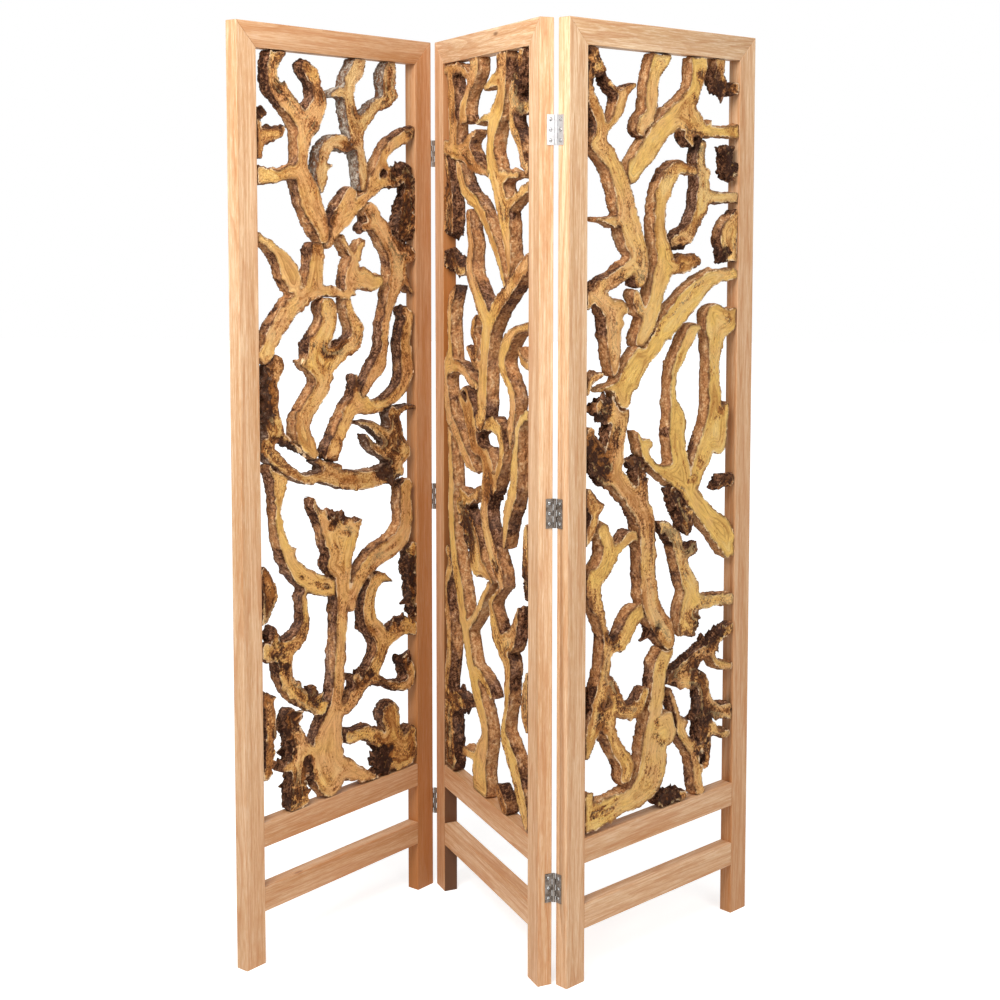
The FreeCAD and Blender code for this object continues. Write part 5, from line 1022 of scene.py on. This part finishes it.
def screw_tree():
    """Slotted screws set on points, each turned to its own slot angle about the way it faces."""
    found = bpy.data.node_groups.get("Slotted screws")
    if found:
        return found
    tree, inside, outside = new_group(
        "Slotted screws", "GeometryNodeTree",
        [("Geometry", "NodeSocketGeometry", None), ("Head radius", "NodeSocketFloat", 0.0029),
         ("Shank radius", "NodeSocketFloat", 0.0014), ("Length", "NodeSocketFloat", 0.0138),
         ("Slot width", "NodeSocketFloat", 0.0009), ("Seed", "NodeSocketInt", 4),
         ("Material", "NodeSocketMaterial", None)],
        [("Geometry", "NodeSocketGeometry")])
    radius = inside.outputs["Head radius"]
    length = inside.outputs["Length"]
    marked = slotted_head(tree, radius, inside.outputs["Slot width"])
    # A thin dark disc just wider than the head: a painted shadow in the countersink.
    ring = node_in(tree, "GeometryNodeMeshCylinder", {"Vertices": HEAD_SEGMENTS,
                   "Radius": times(tree, radius, COUNTERSINK_SHADOW_SHARE), "Depth": COUNTERSINK_SHADOW_DEPTH})
    shadow_ring = with_recess_shade(tree, ring.outputs["Mesh"], 1.0)
    shank = node_in(tree, "GeometryNodeMeshCylinder", {"Vertices": SHANK_SEGMENTS, "Depth": length,
                    "Radius": inside.outputs["Shank radius"]})
    sunk = combined(tree, 0.0, 0.0, times(tree, length, -0.5))
    shank_set = changed(tree, shank.outputs["Mesh"], "Translation", sunk)
    screw = node_in(tree, "GeometryNodeJoinGeometry")
    for shape in (marked.outputs["Geometry"], shadow_ring.outputs["Geometry"], shank_set):
        tree.links.new(shape, screw.inputs["Geometry"])
    aligned = node_in(tree, "FunctionNodeAlignRotationToVector",
                      {"Vector": named(tree, "facing", "FLOAT_VECTOR")}, axis="Z")
    turn = node_in(tree, "FunctionNodeRandomValue", {"Seed": inside.outputs["Seed"], 2: 0.0, 3: HALF_TURN},
                   data_type="FLOAT")
    about_own = node_in(tree, "FunctionNodeAxisAngleToRotation", {"Axis": (0.0, 0.0, 1.0),
                                                                  "Angle": turn.outputs[1]})
    spin = node_in(tree, "FunctionNodeRotateRotation", {"Rotation": aligned.outputs["Rotation"],
                   "Rotate By": about_own.outputs["Rotation"]}, rotation_space="LOCAL")
    placed = node_in(tree, "GeometryNodeInstanceOnPoints", {"Points": inside.outputs["Geometry"],
                     "Instance": screw.outputs["Geometry"], "Rotation": spin.outputs["Rotation"]})
    end_tree(tree, placed.outputs["Instances"], inside, outside)
    return tree


def screw_points(panel):
    """A mesh of points at the tops of a panel's screws, each facing out of its edge."""
    axes = panel_axes(panel)
    work = merged_copy(panel + "_hinge_screws")
    seen = set()
    tops = []
    facings = []
    for first in work.verts:
        if first in seen:
            continue
        seen.add(first)
        island = []
        waiting = [first]
        while waiting:
            vertex = waiting.pop()
            island.append(vertex.co[:])
            for edge in vertex.link_edges:
                other = edge.other_vert(vertex)
                if other not in seen:
                    seen.add(other)
                    waiting.append(other)
        local = to_panel(np.array(island), axes)
        low = local.min(0)
        high = local.max(0)
        side = -1.0 if low[0] < PANEL_WIDTH / 2 else 1.0
        top = (low + high) / 2
        top[0] = low[0] if side < 0 else high[0]
        tops.append(to_row(top[None, :], axes)[0])
        facings.append(axes[1] * side)
    work.free()
    mesh = bpy.data.meshes.new("screw_points")
    mesh.from_pydata([tuple(top) for top in tops], [], [])
    write_attribute(mesh, "facing", facings, "FLOAT_VECTOR")
    return mesh


def root_nodes(panel):
    """The names of a panel's root slabs, which are all its nodes but timber, dowels and screws."""
    skipped = MEMBERS + ("mitre_dowels", "hinge_screws")
    names = [name for name in sorted(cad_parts) if name.startswith(panel + "_")]
    return [name for name in names if name[len(panel) + 1:] not in skipped]


def bark_tree():
    """Fine bark roughness along the surface's normals, kept off the sawn faces."""
    found = bpy.data.node_groups.get("Fine bark")
    if found:
        return found
    tree, inside, outside = new_group(
        "Fine bark", "GeometryNodeTree",
        [("Geometry", "NodeSocketGeometry", None), ("Roughness depth", "NodeSocketFloat", 0.0011),
         ("Lumps per metre", "NodeSocketFloat", 210.0), ("Material", "NodeSocketMaterial", None)],
        [("Geometry", "NodeSocketGeometry")])
    lumps = noise(tree, named(tree, "root_place", "FLOAT_VECTOR"), inside.outputs["Lumps per metre"],
                  3.0, 0.65)
    off_face = minus(tree, 1.0, named(tree, "sawn_face"))
    amount = times(tree, times(tree, minus(tree, lumps, 0.5), 2.0), off_face)
    amount = times(tree, amount, inside.outputs["Roughness depth"])
    normal = node_in(tree, "GeometryNodeInputNormal").outputs[0]
    offset = node_in(tree, "ShaderNodeVectorMath", {0: normal, "Scale": amount}, operation="SCALE")
    moved = node_in(tree, "GeometryNodeSetPosition", {"Geometry": inside.outputs["Geometry"],
                                                      "Offset": offset.outputs[0]})
    end_tree(tree, moved.outputs["Geometry"], inside, outside)
    return tree


def set_input(modifier, label, value):
    """Set a tree's input through its identifier, found by its label."""
    for item in modifier.node_group.interface.items_tree:
        if item.item_type == "SOCKET" and item.in_out == "INPUT" and item.name == label:
            modifier[item.identifier] = value


def grown(mesh, tree, values, name):
    """The mesh that a Geometry Nodes tree makes of a mesh."""
    carrier = bpy.data.objects.new("carrier_" + name, mesh)
    bpy.context.scene.collection.objects.link(carrier)
    modifier = carrier.modifiers.new("Grow", "NODES")
    modifier.node_group = tree
    for label, value in values.items():
        set_input(modifier, label, value)
    result = made_plain(carrier)
    result.name = name
    return result


def finish_cad(name, material):
    """Give a CAD node that stays visible its finish."""
    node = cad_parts[name]
    node.data.materials.clear()
    node.data.materials.append(material)
    return node


class SCREEN_OT_timber(bpy.types.Operator):
    """Dress the frames' stiles and rails in planed softwood"""

    bl_idname = "screen.timber"
    bl_label = "Frames"

    def execute(self, context):
        for panel_number, panel in enumerate(PANELS):
            for member_number, member in enumerate(MEMBERS):
                timber_piece(panel, member, panel_number * len(MEMBERS) + member_number)
        for panel in PANELS:
            finish_cad(panel + "_mitre_dowels", timber_material())
        return {"FINISHED"}


class SCREEN_OT_roots(bpy.types.Operator):
    """Grow bark and grain on every sawn root of the three panels"""

    bl_idname = "screen.roots"
    bl_label = "Root slabs"

    def execute(self, context):
        seed = FIRST_SEED
        for panel in PANELS:
            for node in root_nodes(panel):
                seed += SEED_STEP
                mesh = root_mesh(node, panel, seed)
                dressed = grown(mesh, bark_tree(), {"Material": root_material()}, "shown_" + node)
                bpy.data.meshes.remove(mesh)
                shown_object("shown_" + node, dressed, root_material(), panel, [node])
        return {"FINISHED"}


class SCREEN_OT_hinges(bpy.types.Operator):
    """Finish the butt hinges and their pins in dull zinc"""

    bl_idname = "screen.hinges"
    bl_label = "Hinges"

    def execute(self, context):
        for name in HINGE_NODES:
            node = finish_cad(name, hinge_material())
            node.data.shade_smooth()
            node.data.set_sharp_from_angle(angle=math.radians(HINGE_CREASE))
        return {"FINISHED"}


class SCREEN_OT_screws(bpy.types.Operator):
    """Set slotted countersunk screws in every hinge leaf"""

    bl_idname = "screen.screws"
    bl_label = "Hinge screws"

    def execute(self, context):
        for panel in PANELS:
            node = panel + "_hinge_screws"
            screws = grown(screw_points(panel), screw_tree(), {"Material": screw_material()}, "shown_" + node)
            screws.shade_smooth()
            screws.set_sharp_from_angle(angle=math.radians(SCREW_CREASE))
            shown_object("shown_" + node, screws, screw_material(), panel, [node])
        return {"FINISHED"}


def area_lamp(name, place, target, size, power, colour):
    lamp = bpy.data.lights.new(name, "AREA")
    lamp.shape = "SQUARE"
    lamp.size = size
    lamp.energy = power
    lamp.color = colour
    piece = bpy.data.objects.new(name, lamp)
    piece.location = place
    piece.rotation_euler = (Vector(target) - Vector(place)).to_track_quat("-Z", "Y").to_euler()
    bpy.context.scene.collection.objects.link(piece)


def lit_by_rays(tree, plain, seen):
    """Plain light for the object, and a plain white where the camera or a shiny surface looks."""
    path = node_in(tree, "ShaderNodeLightPath")
    direct = maths(tree, "MAXIMUM", path.outputs["Is Camera Ray"], path.outputs["Is Glossy Ray"])
    direct = maths(tree, "MAXIMUM", direct, path.outputs["Is Transmission Ray"])
    return node_in(tree, "ShaderNodeMixShader", {0: direct, 1: plain, 2: seen}).outputs[0]


def white_floor_material():
    """Matt white that glows a little where it is seen, more so away from the screen."""
    material, tree, shader = shader_of("White floor")
    shader.inputs["Base Color"].default_value = (0.80, 0.80, 0.80, 1.0)
    shader.inputs["Roughness"].default_value = 0.9
    shader.inputs["Specular IOR Level"].default_value = 0.0
    place = node_in(tree, "ShaderNodeTexCoord").outputs["Object"]
    away = node_in(tree, "ShaderNodeVectorMath", {0: place}, operation="LENGTH").outputs["Value"]
    glow = node_in(tree, "ShaderNodeEmission", {"Color": WHITE,
                                                "Strength": reach(tree, away, 1.5, 5.0, 0.62, 0.80)})
    both = node_in(tree, "ShaderNodeAddShader", {0: shader.outputs[0], 1: glow.outputs[0]})
    surface = lit_by_rays(tree, shader.outputs[0], both.outputs[0])
    tree.links.new(surface, tree.nodes["Material Output"].inputs["Surface"])
    return material


def white_floor(scene):
    """A wide white floor, which the screen stands on."""
    mesh = bpy.data.meshes.new("floor")
    half = FLOOR_SIZE / 2
    mesh.from_pydata([(-half, -half, 0.0), (half, -half, 0.0), (half, half, 0.0), (-half, half, 0.0)],
                     [], [(0, 1, 2, 3)])
    floor = bpy.data.objects.new("floor", mesh)
    scene.collection.objects.link(floor)
    mesh.materials.append(white_floor_material())


def studio_world(scene):
    """Even light from all sides before a plain white background."""
    world = bpy.data.worlds.new("Studio")
    world.use_nodes = True
    scene.world = world
    tree = world.node_tree
    plain = node_in(tree, "ShaderNodeBackground", {"Color": WHITE, "Strength": looks().world_light})
    seen = node_in(tree, "ShaderNodeBackground", {"Color": WHITE, "Strength": 1.0})
    surface = lit_by_rays(tree, plain.outputs[0], seen.outputs[0])
    tree.links.new(surface, tree.nodes["World Output"].inputs["Surface"])


class SCREEN_OT_stage(bpy.types.Operator):
    """Set the floor, the studio light and the camera"""

    bl_idname = "screen.stage"
    bl_label = "Stage"

    def execute(self, context):
        scene = context.scene
        scene.view_settings.view_transform = "Standard"
        white_floor(scene)
        studio_world(scene)
        for lamp in LAMPS:
            area_lamp(*lamp)
        camera_from_photo(scene)
        return {"FINISHED"}


def camera_from_photo(scene):
    """The photograph's own view: the focal length in pixels, its principal point, height and tilt."""
    focal_pixels = 1655.5
    image_pixels = 1000.0
    centre_x, centre_y = 567.4, 341.3
    pitch, roll, yaw = 0.08005, -0.00360, 0.01980
    stand = (0.1800, -3.0601, 1.3762)
    data = bpy.data.cameras.new("photo_view")
    data.sensor_width = 36.0
    data.lens = focal_pixels / image_pixels * data.sensor_width
    data.shift_x = (image_pixels / 2 - centre_x) / image_pixels
    data.shift_y = (centre_y - image_pixels / 2) / image_pixels
    data.clip_start = 0.05
    data.clip_end = 60.0
    camera = bpy.data.objects.new("photo_view", data)
    ahead = Vector((0.0, math.cos(pitch), -math.sin(pitch)))
    upright = Vector((0.0, math.sin(pitch), math.cos(pitch)))
    level = Vector((1.0, 0.0, 0.0))
    right = level * math.cos(roll) - upright * math.sin(roll)
    up = level * math.sin(roll) + upright * math.cos(roll)
    turn = Matrix((right, up, -ahead)).transposed().to_4x4()
    camera.matrix_world = Matrix.Translation(stand) @ Matrix.Rotation(yaw, 4, "Z") @ turn
    scene.collection.objects.link(camera)
    scene.camera = camera


class SCREEN_PT_panel(bpy.types.Panel):
    """The screen's pieces and finishes"""

    bl_idname = "SCREEN_PT_panel"
    bl_label = "Folding screen"
    bl_space_type = "VIEW_3D"
    bl_region_type = "UI"
    bl_category = "Screen"

    def draw(self, context):
        for name in ScreenLooks.__annotations__:
            self.layout.prop(context.scene.screen_looks, name)
        for operator in OPERATORS:
            self.layout.operator(operator.bl_idname)


OPERATORS = (SCREEN_OT_timber, SCREEN_OT_roots, SCREEN_OT_hinges, SCREEN_OT_screws, SCREEN_OT_stage)
CLASSES = (ScreenLooks, *OPERATORS, SCREEN_PT_panel)


def register():
    for item in CLASSES:
        bpy.utils.register_class(item)
    bpy.types.Scene.screen_looks = bpy.props.PointerProperty(type=ScreenLooks)


def unregister():
    del bpy.types.Scene.screen_looks
    for item in reversed(CLASSES):
        bpy.utils.unregister_class(item)


def main():
    register()
    bpy.ops.screen.timber()
    bpy.ops.screen.roots()
    bpy.ops.screen.hinges()
    bpy.ops.screen.screws()
    bpy.ops.screen.stage()


if __name__ == "__main__":
    main()
